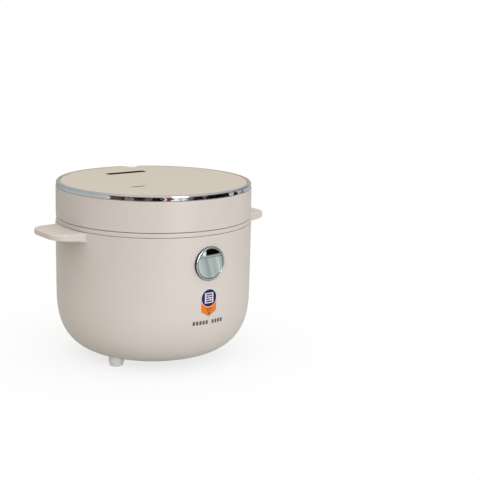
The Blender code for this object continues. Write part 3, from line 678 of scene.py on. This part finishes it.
def button():
    """A chrome bezel round a slightly domed chrome button, with a thin black ring of painted shade for the
    shadow gap round the bezel.
    """
    front_y, wall_y = span("button_bezel", 1)
    front = wall_y - front_y
    r = high("button_bezel", 0)
    edge_r = r - 0.4
    on_the_wall = {"segments": 128, "at": (0, wall_y, BUTTON_Z), "along": "Y"}
    bezel = revolved("bezel_ring", [
        (r - 2.1, front, 0.25), (r - 2.1, 0, 0.2), (r - 1.0, 0, 0.2), (r - 1.0, 5.2, 0), (edge_r, 5.2, 0),
        (edge_r, front, 0.9),
    ], **on_the_wall)
    settle(bezel, "chrome", "root", "button_bezel")
    # Painted shade: a thin black ring round the bezel stands in for the dark shadow gap between the bezel
    # and the casing.
    shade_ring_r, far = edge_r + 0.03, front - 0.8
    corners = [(shade_ring_r, far, 0), (r + 0.1, far, 0.2), (r + 0.1, -0.5, 0), (shade_ring_r, -0.5, 0)]
    seal = revolved("bezel_seal", corners, **on_the_wall)
    settle(seal, "black_plastic", "root")

    rim_r, dome_r, crown = high("release_button", 0), 17.4, 0.84
    face = [(dome_r * i / 16, -crown * (i / 16) ** 2) for i in range(16)]
    edge = rounded([
        (dome_r, -crown, 0.6), (rim_r, -crown - 1.5, 0.5), (rim_r, -5.4, 0.4), (5.0, -5.4, 0.5),
        (5.0, -14.2, 0.3), (2.0, -16.6, 0.5), (0, -16.8, 0),
    ], closed=False)
    place = 0, BUTTON_FACE_Y, BUTTON_Z
    cap = turned("button_cap", face + edge, closed=False, segments=128, at=place, along="Y")
    settle(cap, "chrome", "release_button", "release_button")


def on_wall(name, outlines, proud, look=None, nodes=()):
    """A thin printed layer that lies on the casing's front wall, from outlines of (x, z)."""
    heights = [z for outline in outlines for _, z in outline]
    layer = prisms(name, outlines, -126, -112, "XZ")
    carve(layer, skin(proud, max(heights) + 1, min(heights) - 1), "INTERSECT")
    settle(layer, "badge", "root", *nodes, look=look)


def label():
    """A plain two-part label: a round head with a window of bars, over a pennant that ends in a point."""
    tip_z, top_z = span("front_badge", 2)
    r, half = 10.4, 10.5
    head_z = top_z - r
    notch_z, shoulder_z = head_z - 3.5, tip_z + 6.5
    pennant = (-half, notch_z), (-half, shoulder_z), (0.0, tip_z), (half, shoulder_z), (half, notch_z)
    on_wall("label_pennant", [rounded([(*p, 0.8) for p in pennant])], 0.18, "badge_orange", ["front_badge"])
    on_wall("label_edge", [circle(r + 0.6, 48, (0, head_z))], 0.24, "badge_pale")
    on_wall("label_head", [circle(r, 48, (0, head_z))], 0.30)
    on_wall("label_window", [rectangle(12.0, 12.6, 0.8, (0, head_z))], 0.36, "badge_pale")
    whole, words, more = [(0.0, 8.6)], [(-2.6, 3.4), (2.2, 4.2)], [(-1.8, 5.0), (3.1, 2.4)]
    rows = (4.2, whole), (1.4, words), (-1.4, more), (-4.2, whole)
    bars = [rectangle(width, 1.6, 0.4, (x, head_z + z)) for z, row in rows for x, width in row]
    on_wall("label_bars", bars, 0.42)
    lines = [rectangle(width, 0.9, 0.3, (0, tip_z + z)) for width, z in ((9.0, 9.4), (6.0, 7.2))]
    lines.append([(x, tip_z + z) for x, z in ((-1.8, 4.2), (0, 2.4), (1.8, 4.2), (0, 6.0))])
    on_wall("label_lines", lines, 0.24, "print_brown")
    places = -19.5, -15.2, -10.9, -6.6, -2.3, 6.3, 10.6, 14.9, 19.2
    on_wall("wall_bars", [rectangle(3.0, 4.8, 0.7, (x, tip_z - 6.8)) for x in places], 0.10, "print_grey")


def latch():
    """The hook lever behind the front wall, with its sloping nose, and the bar it holds."""
    x, nose = high("latch_lever", 0), high("latch_lever", 1)
    foot, top = span("latch_lever", 2)
    pivot = middle("latch_pin", 1), middle("latch_pin", 2)
    front, back = pivot[0] - 1.5, pivot[0] + 1.5
    lever = prism("hook_lever", rounded([
        (front, foot, 0.6), (back, foot, 0.6), (back, top - 2.6, 0.4), (nose, top - 2.6, 0.3),
        (nose, top - 1.6, 0.3), (nose - 2.6, top, 0.6), (front, top, 0.8),
    ]), -x, x, "YZ")
    cut(lever, circle(3.6, 40, pivot), -x, x, "YZ", "UNION")
    cut(lever, circle(1.75, 32, pivot), -x - 1, x + 1, "YZ")
    bevelled(lever, 0.35, 2)
    settle(lever, "grey_plastic", "latch_lever", "latch_lever")
    bar = block("catch_bar", *zip(*(span("lid_catch", axis) for axis in range(3))))
    bevelled(bar, 0.4, 3)
    settle(bar, "steel", "lid", "lid_catch")


def springs():
    """The coil springs behind the button and under the sensor cap."""
    wire, (front, back) = 0.5, span("button_spring", 1)
    path = [(x, along, BUTTON_Z + y) for x, y, along in coil(8.0, front + wire, back - wire, 3)]
    spring = tube("button_coil", path, wire)
    settle(spring, "steel", "root", "button_spring")
    anchor = tuple(placed((0, back, BUTTON_Z)))
    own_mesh(spring)
    wire, (foot, top) = 0.7, span("sensor_spring", 2)
    spring = tube("sensor_coil", coil(9.5, foot + wire, top - wire, 4), wire)
    settle(spring, "steel", "root", "sensor_spring")
    anchor = tuple(placed((0, 0, foot)))
    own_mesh(spring)


# ---------- hinge

def hinge():
    """The rear housing with its two ears, the pin, the arm of the lid and two wound springs."""
    half, gap = high("hinge_housing", 0), low("hinge_spring_right", 0) + 7.6
    back, foot = high("hinge_housing", 1), low("hinge_housing", 2)
    ear_r = back - HINGE_Y
    curve = (HINGE_Y - ear_r, foot, 0), (back - 9, foot, 5), (back, foot + 13, 12), (back, HINGE_Z - 1, 0)
    side = rounded(curve, closed=False, steps=10)
    side += circle(ear_r, 40, HINGE)[:21] + [(112, HINGE_Z - 8), (112, foot)]
    housing = prism("hinge_cover", side, -half, half, "YZ")
    cut_block(housing, (-gap, 100, 167.4), (gap, 150, 200))
    carve(housing, envelope(0.15))
    bevelled(housing, 1.1, 4, 45)
    cut(housing, circle(2.2, 32, HINGE), -half + 1.5, half - 1.5, "YZ")
    settle(housing, "cream_plastic", "root", "hinge_housing")

    reach = high("hinge_pin", 0)
    pin = prism("pivot_pin", circle(2.0, 40, HINGE), -reach, reach, "YZ")
    bevelled(pin, 0.3, 2, 60)
    settle(pin, "steel", "root", "hinge_pin")

    knuckle, front = high("lid_hinge_arm", 0), low("lid_hinge_arm", 1)
    lower_z, upper_z = HINGE_Z + 1, HINGE_Z + 6
    strap = (front, lower_z, 0.5), (HINGE_Y, lower_z, 0), (HINGE_Y, upper_z, 0), (front, upper_z, 0.5)
    arm = prism("lid_arm", rounded(strap), -knuckle, knuckle, "YZ")
    cut(arm, circle(6.2, 56, HINGE), -knuckle, knuckle, "YZ", "UNION")
    cut(arm, circle(2.25, 40, HINGE), -knuckle - 1, knuckle + 1, "YZ")
    bevelled(arm, 0.5, 3, 45)
    settle(arm, "grey_plastic", "lid", "lid_hinge_arm")

    for side, name in ((-1, "left"), (1, "right")):
        line = [(side * along, HINGE_Y + a, HINGE_Z + b) for a, b, along in coil(4.1, 13.2, 19.4, 5)]
        x, y, z = line[-1]
        line += [(x, y + 0.1 * k, z - k) for k in (1, 2, 4, 6.4)]
        settle(tube(f"torsion_spring_{name}", line, 0.55), "steel", "root", f"hinge_spring_{name}")


# ---------- lid

def lid_cover():
    """The lid's round casing."""
    deck_z, rim_r, inner = LID_WALL_TOP_Z - 3.4, LID_R - 3.4, LID_R - WALL
    cover = revolved("lid_cover", [
        (0, deck_z, 0), (rim_r, deck_z, 0.3), (rim_r, LID_WALL_TOP_Z, 0.3), (LID_R, LID_WALL_TOP_Z, 0.5),
        (LID_R, LID_LOW_Z, 0.7), (inner, LID_LOW_Z, 0.3), (inner, deck_z - 2.4, 1.0), (0, deck_z - 2.4, 0),
    ], closed=False)
    notch = high("lid_hinge_arm", 0) + 0.4
    cut(cover, rectangle(2 * notch, 18.6, 1.5, (0, 173.4)), 100, 126, "XZ")
    duct_x, duct_y = high("steam_duct", 0) + 0.4, 7.8
    cut_block(cover, (-duct_x, SLOT_Y - duct_y, 200), (duct_x, SLOT_Y + duct_y, 212))
    settle(cover, "cream_plastic", "lid", "lid_shell")


def chrome_rim():
    inner, outer = PANEL_R + 0.4, LID_R - 0.7
    foot, step = CHROME_LOW_Z, CHROME_LOW_Z + 3.4
    rim = revolved("mirror_rim", [
        (inner, TOP_Z - 0.1, 0.2), (outer, TOP_Z, 4.2), (outer, foot, 0.4), (inner - 2.5, foot, 0.2),
        (inner - 2.5, step, 0.2), (inner, step, 0.2),
    ], steps=10, segments=256)
    settle(rim, "chrome", "lid", "chrome_ring")


def touch_panel():
    """The flat panel, its steam slot, and faint printed marks of no particular language."""
    corners = [(0, PANEL_Z, 0), (PANEL_R, PANEL_Z, 0.5), (PANEL_R, PANEL_LOW_Z, 0.3), (0, PANEL_LOW_Z, 0)]
    panel = revolved("touch_panel", corners, closed=False)
    width, place = 2 * (high("steam_valve", 0) + 0.4), (0, SLOT_Y)
    cut(panel, rectangle(width + 1.4, 11.8, 2.5, place), 210, 220)
    bevelled(panel, 0.35, 3, 60)
    settle(panel, "panel_cream", "lid", "top_panel")
    trim = prism("slot_trim", rectangle(width + 1.2, 11.6, 2.4, place), PANEL_LOW_Z + 0.4, PANEL_Z + 0.05)
    cut(trim, rectangle(width - 0.1, 10.3, 1.9, place), 210, 220)
    settle(trim, "black_plastic", "lid")

    marks = [
        rectangle(width, 0.6, 0.3, (x, y + shift))
        for x, y in ((-16, -60), (23, -60), (47, -60), (80, -14))
        for width, shift in ((6.4, 2.6), (6.4, -2.6), (3.0, 0.0))
    ]
    light = [rectangle(18.0, 4.2, 1.2, (-43.8, -33.2))]
    for name, outlines, look in (("panel_light", light, "icon_grey"), ("panel_marks", marks, "icon_pale")):
        layer = prisms(name, outlines, PANEL_Z - 0.2, PANEL_Z + 0.03)
        settle(layer, "panel_cream", "lid", look=look)


def steam_vent():
    """The black insert in the slot, with three steam louvres, and the duct that holds it."""
    width, depth = 2 * high("steam_valve", 0), 2 * (high("steam_valve", 1) - SLOT_Y)
    foot, top = span("steam_valve", 2)
    valve = prism("vent_insert", rectangle(width, depth, 1.6, (0, SLOT_Y)), foot, top)
    for x in (-17, 0, 17):
        cut(valve, rectangle(13, 4.2, 1.4, (x, SLOT_Y)), foot - 5, top + 5)
    bevelled(valve, 0.5, 3, 60)
    settle(valve, "black_plastic", "steam_valve", "steam_valve")

    width, depth = 2 * high("steam_duct", 0), 2 * (high("steam_duct", 1) - SLOT_Y)
    foot, top = span("steam_duct", 2)
    duct = prism("vent_duct", rectangle(width, depth, 2.6, (0, SLOT_Y)), foot, top)
    cut(duct, rectangle(width - 4.8, depth - 4.4, 1.8, (0, SLOT_Y)), foot - 5, top + 5)
    bevelled(duct, 0.4, 2, 60)
    settle(duct, "grey_plastic", "lid", "steam_duct")


def lid_underside():
    """The liner that shows when the lid is up, with three ring grooves and its openings."""
    r, (under, top) = high("lid_liner", 0), span("lid_liner", 2)
    corners = [(r, top, 0.3), (r, under, 1.2)]
    for groove in (109.0, 101.0, 93.0):
        corners += [(groove + 0.9, under, 0.3), (groove, under + 0.7, 0.4), (groove - 0.9, under, 0.3)]
    corners += [(0, under, 0), (0, under + 2, 0), (r - 2, under + 2, 0.4), (r - 2, top, 0.3)]
    liner = turned("lid_underside", rounded(corners, steps=4)[:-1])
    cut(liner, rectangle(19, 19, 2, (0, -103.5)), 170, 180)
    cut(liner, rectangle(48, 10, 2, (0, SLOT_Y)), 170, 180)
    notch = high("lid_hinge_arm", 0) + 0.5
    cut_block(liner, (-notch, 108, under + 2.05), (notch, 120, 186))
    bevelled(liner, 0.3, 2, 60)
    settle(liner, "grey_plastic", "lid", "lid_liner")


def lid_plate():
    """The removable plate, pressed from sheet with a raised middle and three rolled rings."""
    plate_r, rim_z, sheet, rise = high("inner_lid", 0), low("inner_lid", 2), 1.0, 2.0

    def lower_face(radius):
        share = min(1.0, max(0.0, (66.0 - radius) / 6.0))
        level = rim_z + rise * (3 - 2 * share) * share**2
        for ring in (54.0, 27.0, 16.0):
            if abs(radius - ring) < 3.0:
                level -= 0.45 * (1 + cos(pi * (radius - ring) / 3.0)) / 2
        return level

    radii = [plate_r - 0.6 * i for i in range(1, 125) if plate_r - 0.6 * i > 4.6] + [4.0]
    line = [(radius, lower_face(radius)) for radius in radii]
    profile = [(plate_r, rim_z + sheet), (plate_r, rim_z), *line]
    profile += [(radius, level + sheet) for radius, level in reversed(line)]
    plate = turned("lid_plate", profile)
    holes = [circle(2.6, 24, (-24 + 12 * i, 46)) for i in range(5)] + [circle(7.2, 40, (36, 8))]
    carve(plate, prisms("holes", holes, 165, 180))
    settle(plate, "aluminium", "lid", "inner_lid")


def lid_fittings():
    """The pot's lip seal, the grommet that holds the plate, and the sensor probe."""
    r, (foot, top) = high("lid_seal", 0), span("lid_seal", 2)
    seal = revolved("pot_seal", [
        (r - 8.6, top, 0.4), (r, top, 0.5), (r, foot + 2.2, 0.8), (r - 0.6, foot + 1.5, 0.4),
        (r - 1.4, foot, 0.5), (r - 3.0, foot + 0.9, 0.5), (r - 4.8, foot, 0.5), (r - 5.8, foot + 1.6, 0.6),
        (r - 8.6, foot + 1.8, 0.5),
    ], steps=4)
    settle(seal, "silicone", "lid", "lid_seal")

    foot, top = span("lid_grommet", 2)
    grommet = revolved("plate_grommet", [
        (0, top, 0), (3.6, top, 0.2), (3.6, foot + 2.8, 0.2), (8.0, foot + 2.8, 0.5), (7.4, foot + 1.2, 0.8),
        (4.6, foot, 1.2), (3.0, foot + 0.9, 0.6), (0, foot + 0.9, 0),
    ], closed=False, segments=64)
    settle(grommet, "silicone", "lid", "lid_grommet")

    foot, top = span("lid_sensor", 2)
    corners = [(0, top, 0), (6.0, top, 0.2), (6.0, foot + 0.9, 0.3), (5.0, foot, 0.7), (0, foot, 0)]
    place = middle("lid_sensor", 0), middle("lid_sensor", 1), 0
    probe = revolved("lid_probe", corners, closed=False, segments=48, at=place)
    settle(probe, "steel", "lid", "lid_sensor")


# ---------- pot and basket

def pot():
    """The coated pot, with a rolled rim, and the raised level marks on its wall."""
    rim_r, (foot, rim_z) = high("inner_pot", 0), span("inner_pot", 2)
    wall_r, base_r, sheet = rim_r - 8.0, rim_r - 9.5, 1.6
    wall_top, wall_foot = rim_z - 4, foot + 30
    profile = rounded([
        (rim_r, rim_z, 0.7), (rim_r, rim_z - sheet, 0.7), (wall_r + 0.6, rim_z - sheet, 1.6),
        (wall_r, wall_top, 0.5), (base_r, wall_foot, 0), (base_r, foot, 26.0), (0, foot, 0),
        (0, foot + sheet, 0), (base_r - sheet, foot + sheet, 24.6), (base_r - sheet, wall_foot, 0),
        (wall_r - sheet, wall_top, 0.5), (wall_r - 0.4, rim_z, 2.2),
    ], steps=10)
    start = profile.index((0, foot + sheet))
    vessel = turned("pot_vessel", profile[start:] + profile[:start], closed=False)
    settle(vessel, "pot_coating", "inner_pot", "inner_pot")

    bars = [rectangle(0.9, 62.0, 0.4, (-8.0, foot + 57))]
    for i in range(9):
        width = 9.0 if i % 2 else 16.0
        bars.append(rectangle(width, 0.9, 0.4, (width / 2 - 7.3, foot + 27 + 7.5 * i)))
    scale = prisms("level_marks", bars, -84, -70, "XZ")
    inner = [(wall_r - sheet, wall_top), (base_r - sheet, wall_foot), (base_r - sheet, foot + 20)]
    sleeve = [(r + 0.4, z) for r, z in inner] + [(r - 0.5, z) for r, z in reversed(inner)]
    carve(scale, turned("sleeve", sleeve, segments=360), "INTERSECT")
    settle(scale, "pot_coating", "inner_pot")


def perforated(shape, upper, lower, cells, hole, sides=3):
    """A band of sheet between two rings, divided into cells that each have a round hole."""
    count = len(upper)
    width = count // cells
    edges = []
    for c in range(cells):
        a, b = upper[c * width].co, lower[c * width].co
        edges.append([shape.verts.new(a.lerp(b, (k + 1) / (sides + 1))) for k in range(sides)])
    for c in range(cells):
        right = (c + 1) % cells
        top = [upper[(c * width + k) % count] for k in range(width + 1)]
        bottom = [lower[(c * width + k) % count] for k in range(width + 1)]
        loop = [*top, *edges[right], *reversed(bottom), *reversed(edges[c])]
        corners = [vert.co for vert in (top[0], top[-1], bottom[0], bottom[-1])]
        along = (corners[1] + corners[3] - corners[0] - corners[2]) / 2
        down = (corners[2] + corners[3] - corners[0] - corners[1]) / 2
        centre = sum(corners, Vector()) / 4
        bulge = (top[width // 2].co + bottom[width // 2].co) / 2 - centre
        rim = []
        for vert in loop:
            offset = vert.co - centre
            angle = atan2(offset.dot(down) / down.length_squared, offset.dot(along) / along.length_squared)
            reach = along.normalized() * hole * cos(angle) + down.normalized() * hole * sin(angle)
            rim.append(shape.verts.new(centre + bulge * 0.8 + reach))
        for k in range(len(loop)):
            j = (k + 1) % len(loop)
            shape.faces.new((loop[k], rim[k], rim[j], loop[j]))


def basket():
    """The steamer basket, pressed from thin sheet with rows of holes in its wall and floor."""
    rim_r, (foot, rim_z) = high("steam_basket", 0), span("steam_basket", 2)
    sheet, wall_r, base_r = 0.7, rim_r - 9.0, rim_r - 10.9
    under = rim_z - sheet
    wall_top, wall_foot = under - 5, foot + 22
    shape = bmesh.new()
    shoulder = rounded([(rim_r, under, 0), (wall_r + 0.6, under, 1.6), (wall_r, wall_top, 0)], closed=False)
    corner = rounded([(base_r, wall_foot, 0), (base_r, foot, 13.0), (46, foot, 0)], closed=False, steps=8)

    def wall_at(z):
        return wall_r + (base_r - wall_r) * (wall_top - z) / (wall_top - wall_foot), z

    last = ring_of(shape, *shoulder[0])
    rows = [(place, 0, 0) for place in (*shoulder[1:], wall_at(under - 9), wall_at(under - 13))]
    rows += [(wall_at(z), 48, 2.3) for z in (under - 22, under - 31)] + [(wall_at(wall_foot), 48, 1.6)]
    rows += [(place, 0, 0) for place in corner[1:]]
    rows += [((r, foot), cells, 2.0) for r, cells in ((38, 32), (30, 32), (22, 24), (14, 16))]
    rows += [((r, foot), 0, 0) for r in (10, 5, 0)]
    for place, cells, hole in rows:
        following = ring_of(shape, *place)
        if cells:
            perforated(shape, last, following, cells, hole)
        else:
            bridge(shape, last, following)
        last = following
    body = piece_from("basket_sheet", shape, closed=False)
    modified(body, "SOLIDIFY", thickness=sheet * MM, offset=-1.0, use_even_offset=True)
    settle(body, "steel", "steam_basket", "steam_basket", look="basket_steel")


def bail():
    """The basket's wire handle, lying forwards, with a grip bent into its middle."""
    hinge_z, lean, bow_r = high("steam_basket", 2) - 9.6, radians(46.0), 72.5
    half = [(78.0, 0), (75.2, 0), (73.2, 0.8), (72.4, 2.8)]
    half += [(bow_r * cos(radians(a)), bow_r * sin(radians(a))) for a in (8, 18, 28, 38, 48, 58, 68)]
    half += [(20.5, 69.2), (13.5, 69.6), (7.0, 67.2), (0.0, 66.2)]
    line = half + [(-x, reach) for x, reach in reversed(half[:-1])]
    path = [Vector((x, -reach * cos(lean), hinge_z - reach * sin(lean))) for x, reach in line]
    settle(tube("bail_wire", catmull(path, 6), 1.5, 16), "steel", "bail_handle", "bail_handle")


# ---------- stage

VIEW_TURN = radians(-32.8)  # the camera's heading round the cooker, from its front towards +X
KEY_POWER = 10.4
KEY_COLOUR = (0.95, 1.0, 1.11)
KEY_TURN = VIEW_TURN + radians(29.0)
KEY_REACH, KEY_HEIGHT = 1.7, 0.52
KEY_SIZE = 0.5, 1.1
KEY_AIM = Vector((0, 0, 0.12))
SOFT_EVEN, SOFT_OVERHEAD, SOFT_FRONT = 0.31, 1.25, 0.03
SOFT_LEAST = 0.05
SOFT_TINT = (1.0, 0.985, 0.96)
CEILING, DARK = (0.70, 0.69, 0.66), (0.003, 0.002, 0.002)
WHITE = (1.0, 1.0, 1.0, 1.0)
# What stands round the cooker, by its heading in degrees to the right of the camera. Near the floor:
SKIRTING = [
    (-180, (0.31, 0.33, 0.345)), (-150, (0.38, 0.41, 0.44)), (-130, (0.42, 0.46, 0.49)),
    (-102, (0.45, 0.475, 0.475)), (-72, (0.50, 0.50, 0.50)), (-60, (0.56, 0.55, 0.54)),
    (-53, (0.11, 0.055, 0.045)), (-38, (0.030, 0.018, 0.014)), (-31, (0.21, 0.17, 0.14)),
    (-24, (0.020, 0.014, 0.012)), (-11, (0.13, 0.09, 0.07)), (-4, DARK),
    (9, (0.80, 0.70, 0.68)), (13, (0.17, 0.030, 0.030)), (22, (1.0, 0.98, 0.98)), (28, (0.48, 0.44, 0.50)),
    (31, (0.90, 0.88, 0.90)), (35, (0.36, 0.33, 0.37)), (39, (0.14, 0.10, 0.09)),
    (45, DARK), (58, (0.18, 0.14, 0.12)), (61, DARK), (96, (0.48, 0.50, 0.49)), (106, DARK),
    (112, (0.42, 0.46, 0.47)), (122, (0.22, 0.23, 0.24)), (130, (0.44, 0.48, 0.49)),
]
SKIRTING_BLOTS = (0.30, 0.29, 0.28)
FLOOR_LINE = (0.40, 0.45, 0.43)
# Just above it, up to table height
LOW_WALLS = [
    (-180, (0.28, 0.31, 0.34)), (-100, (0.38, 0.40, 0.42)), (-55, (0.12, 0.075, 0.06)),
    (-5, (0.11, 0.08, 0.07)), (9, (0.62, 0.52, 0.50)), (38, (0.16, 0.13, 0.12)), (57, (0.30, 0.33, 0.32)),
    (60, (0.9, 0.9, 0.9)), (62, DARK), (97, (0.22, 0.22, 0.21)), (112, (0.34, 0.37, 0.40)),
]
# And higher, where a wide lit window stands between two dim walls
WALLS = [
    (-180, (0.45, 0.43, 0.38)), (-160, (0.34, 0.37, 0.40)), (-60, (0.26, 0.24, 0.22)),
    (-5, (0.50, 0.49, 0.48)), (23, (4.6, 4.8, 5.2)), (40, (0.30, 0.30, 0.30)), (60, DARK),
    (97, (0.14, 0.13, 0.12)), (150, (0.45, 0.43, 0.38)),
]
UPPER_WALLS = [
    (-180, (0.42, 0.42, 0.40)), (-80, (0.44, 0.47, 0.49)), (-45, (0.60, 0.57, 0.52)),
    (95, (0.60, 0.57, 0.52)), (120, (0.44, 0.47, 0.49)), (180, (0.42, 0.42, 0.40)),
]
TABLE_R, FADE_FROM, FADE_TO = 1.0, 0.08, 0.30  # in metres
WHITE_SHARE = 0.76  # of plain white near the cooker, where the rest is lit paper
# Painted reflection: grey-green streaks the table glows with for glossy rays only, so that the chrome shows
# them.
PAINTED_REFLECTION_STREAKS = [(0.36, (0.34, 0.40, 0.38)), (0.66, (0.60, 0.66, 0.63))]
STREAK_MEAN = 0.51
# How strong the painted reflection streaks are, by the turn round the cooker: full only in front of the
# button
STREAK_STRENGTH = [(turn, [level] * 3) for turn, level in ((0.25, 0.15), (0.29, 1), (0.36, 1), (0.40, 0.15))]


def studio():
    """A white table top, one tall soft box, and a world that gives soft light and reflections."""
    shape = bmesh.new()
    shape.faces.new([shape.verts.new(Vector((*point, 0.0)) + AXIS) for point in circle(TABLE_R, 96)])
    table = linked("table_top", mesh_of("table_top", shape))
    table.data.materials.append(table_paper())

    place = AXIS + Vector((sin(KEY_TURN) * KEY_REACH, -cos(KEY_TURN) * KEY_REACH, KEY_HEIGHT))
    light = bpy.data.lights.new("soft_box", "AREA")
    light.shape = "RECTANGLE"
    light.size, light.size_y = KEY_SIZE
    light.energy = KEY_POWER
    light.color = KEY_COLOUR
    lamp = linked("soft_box", light)
    lamp.location = place
    lamp.rotation_euler = (AXIS + KEY_AIM - place).to_track_quat("-Z", "Y").to_euler()

    world = bpy.data.worlds.new("studio")
    bpy.context.scene.world = world
    world.use_nodes = True
    studio_world(world.node_tree)


def fill_ramp(node, stops, mode="LINEAR"):
    """Gives a colour ramp its stops: positions and colours."""
    band = node.color_ramp
    band.interpolation = mode
    while len(band.elements) < len(stops):
        band.elements.new(0.5)
    for stop, (position, colour) in zip(band.elements, stops):
        stop.position = position
        stop.color = (*colour, 1.0)
    return node.outputs["Color"]


def table_paper():
    """White paper that fades into the backdrop, gives little light and, to glossy rays only, glows with
    grey-green streaks: a painted reflection.
    """
    paper = Surface("table_top", (0.66, 0.64, 0.60), 0.8)
    paper.tint(paper.noise(0.8), (0.655, 0.635, 0.595), (0.665, 0.645, 0.605))
    add = paper.add

    around = add("ShaderNodeTexGradient", {"Vector": paper.place}, gradient_type="RADIAL").outputs["Fac"]
    noise = add("ShaderNodeTexNoise", {"W": around, "Scale": 70.0, "Detail": 2.5}, noise_dimensions="1D")
    strength = fill_ramp(add("ShaderNodeValToRGB", {"Fac": around}), STREAK_STRENGTH)
    centred = paper.math("SUBTRACT", noise.outputs["Fac"], STREAK_MEAN)
    streaks = paper.math("MULTIPLY_ADD", centred, strength, STREAK_MEAN)
    streaks = fill_ramp(add("ShaderNodeValToRGB", {"Fac": streaks}), PAINTED_REFLECTION_STREAKS)
    # Painted reflection: the streaks as an emission, used only for glossy rays.
    painted_reflection = add("ShaderNodeEmission", {"Color": streaks})

    away = add("ShaderNodeVectorMath", {0: paper.place}, operation="LENGTH").outputs["Value"]
    fade = paper.spread(away, WHITE_SHARE, 1.0, FADE_FROM, FADE_TO)
    sheet = add("ShaderNodeBsdfDiffuse", {"Color": (0.80, 0.80, 0.80, 1.0)})
    white = add("ShaderNodeEmission", {"Color": WHITE})

    def either(factor, first, second):
        return add("ShaderNodeMixShader", {0: factor, 1: first.outputs[0], 2: second.outputs[0]})

    rays = add("ShaderNodeLightPath").outputs
    lit = either(rays["Is Glossy Ray"], paper.shader, painted_reflection)
    both = either(rays["Is Camera Ray"], lit, either(fade, sheet, white))
    paper.tree.links.new(both.outputs[0], paper.tree.nodes["Material Output"].inputs["Surface"])
    return paper.material


def studio_world(tree):
    """Plain white to look at, soft light from above and the front, and light and dark walls to reflect."""
    nodes, links = tree.nodes, tree.links
    nodes.clear()

    def add(kind, *values, out=0, **settings):
        node = nodes.new(kind)
        for key, value in settings.items():
            setattr(node, key, value)
        for socket, value in zip(node.inputs, values):
            if isinstance(value, bpy.types.NodeSocket):
                links.new(value, socket)
            elif value is not None:
                socket.default_value = value
        return node.outputs[out]

    def math(operation, *values):
        return add("ShaderNodeMath", *values, operation=operation)

    def noise(stretch, detail):
        place = add("ShaderNodeMapping", front, None, None, stretch)
        return add("ShaderNodeTexNoise", place, None, 1.0, detail)

    def around(turn, colours, mode="CONSTANT"):
        stops = [(0.5 + degrees / 360, colour) for degrees, colour in colours]
        return fill_ramp(add("ShaderNodeValToRGB", turn).node, stops, mode)

    def above(start, end):
        """A factor that rises from 0 to 1 between two elevations in degrees."""
        stops = [(0.5 + start / 180, (0.0, 0.0, 0.0)), (0.5 + end / 180, (1.0, 1.0, 1.0))]
        return fill_ramp(add("ShaderNodeValToRGB", height).node, stops)

    def blend(factor, first, second):
        first, second = ((*value, 1.0) if isinstance(value, tuple) else value for value in (first, second))
        unused = [None] * 5
        return add("ShaderNodeMix", factor, *unused, first, second, out=2, data_type="RGBA")

    direction = add("ShaderNodeTexCoord")
    front = add("ShaderNodeVectorRotate", direction, None, None, -VIEW_TURN, rotation_type="Z_AXIS")
    x, y, z = add("ShaderNodeSeparateXYZ", front).node.outputs
    heading = math("MULTIPLY_ADD", math("ARCTAN2", x, math("MULTIPLY", y, -1.0)), 1 / TURN, 0.5)
    height = math("MULTIPLY_ADD", math("ARCSINE", z), 1 / pi, 0.5)

    shaken = math("ADD", heading, math("MULTIPLY_ADD", noise((8.0, 8.0, 130.0), 1.5), 0.05, -0.025))
    blots = math("MULTIPLY_ADD", noise((17.0, 17.0, 300.0), 2.0), 1.8, -1.05)
    room = blend(blots, around(shaken, SKIRTING), SKIRTING_BLOTS)
    room = blend(above(-8.9, -8.7), room, FLOOR_LINE)
    room = blend(above(-7.4, -7.2), room, around(heading, LOW_WALLS))
    room = blend(above(3, 5), room, around(heading, WALLS))
    room = blend(above(16, 32), room, around(heading, UPPER_WALLS, "LINEAR"))
    room = blend(above(50, 65), room, CEILING)

    rays = nodes.new("ShaderNodeLightPath").outputs
    strength = math("MULTIPLY_ADD", z, SOFT_OVERHEAD, math("MULTIPLY_ADD", y, -SOFT_FRONT, SOFT_EVEN))
    soft = add("ShaderNodeBackground", (*SOFT_TINT, 1.0), math("MAXIMUM", strength, SOFT_LEAST))
    reflections = add("ShaderNodeBackground", room, 1.0)
    seen = add("ShaderNodeBackground", WHITE, 1.0)
    lit = add("ShaderNodeMixShader", rays["Is Glossy Ray"], soft, reflections)
    view = add("ShaderNodeMixShader", rays["Is Camera Ray"], lit, seen)
    links.new(view, nodes.new("ShaderNodeOutputWorld").inputs["Surface"])


def camera():
    """A long lens, a little above the lid, looking at the cooker from the front and its left."""
    pan, pitch, roll = radians(4.395), radians(11.975), radians(1.31)
    distance, eye_height, lens = 1.400, 0.4394, 86.06
    aim = Matrix.Rotation(VIEW_TURN, 3, "Z")
    forward = aim @ Vector((sin(pan) * cos(pitch), cos(pan) * cos(pitch), -sin(pitch)))
    right = aim @ Vector((cos(pan), -sin(pan), 0.0))
    up = right.cross(forward)
    tilted_right = right * cos(roll) + up * sin(roll)
    tilted_up = up * cos(roll) - right * sin(roll)
    view = bpy.data.cameras.new("view")
    view.lens = lens
    view.sensor_width = 36.0
    eye = linked("view", view)
    pose = Matrix((tilted_right, tilted_up, -forward)).transposed().to_4x4()
    pose.translation = AXIS + aim @ Vector((0.0, -distance, 0.0)) + Vector((0, 0, eye_height))
    eye.matrix_world = pose
    bpy.context.scene.camera = eye


camera()
studio()
finish_cad_nodes()
casing()
collar()
handle(-1)
handle(1)
base()
for screw_number in (1, 2, 3):
    screw(screw_number)
feet()
power_socket()
button()
label()
latch()
springs()
hinge()
lid_cover()
chrome_rim()
touch_panel()
steam_vent()
lid_underside()
lid_plate()
lid_fittings()
pot()
basket()
bail()
bpy.context.scene.view_settings.view_transform = "Standard"
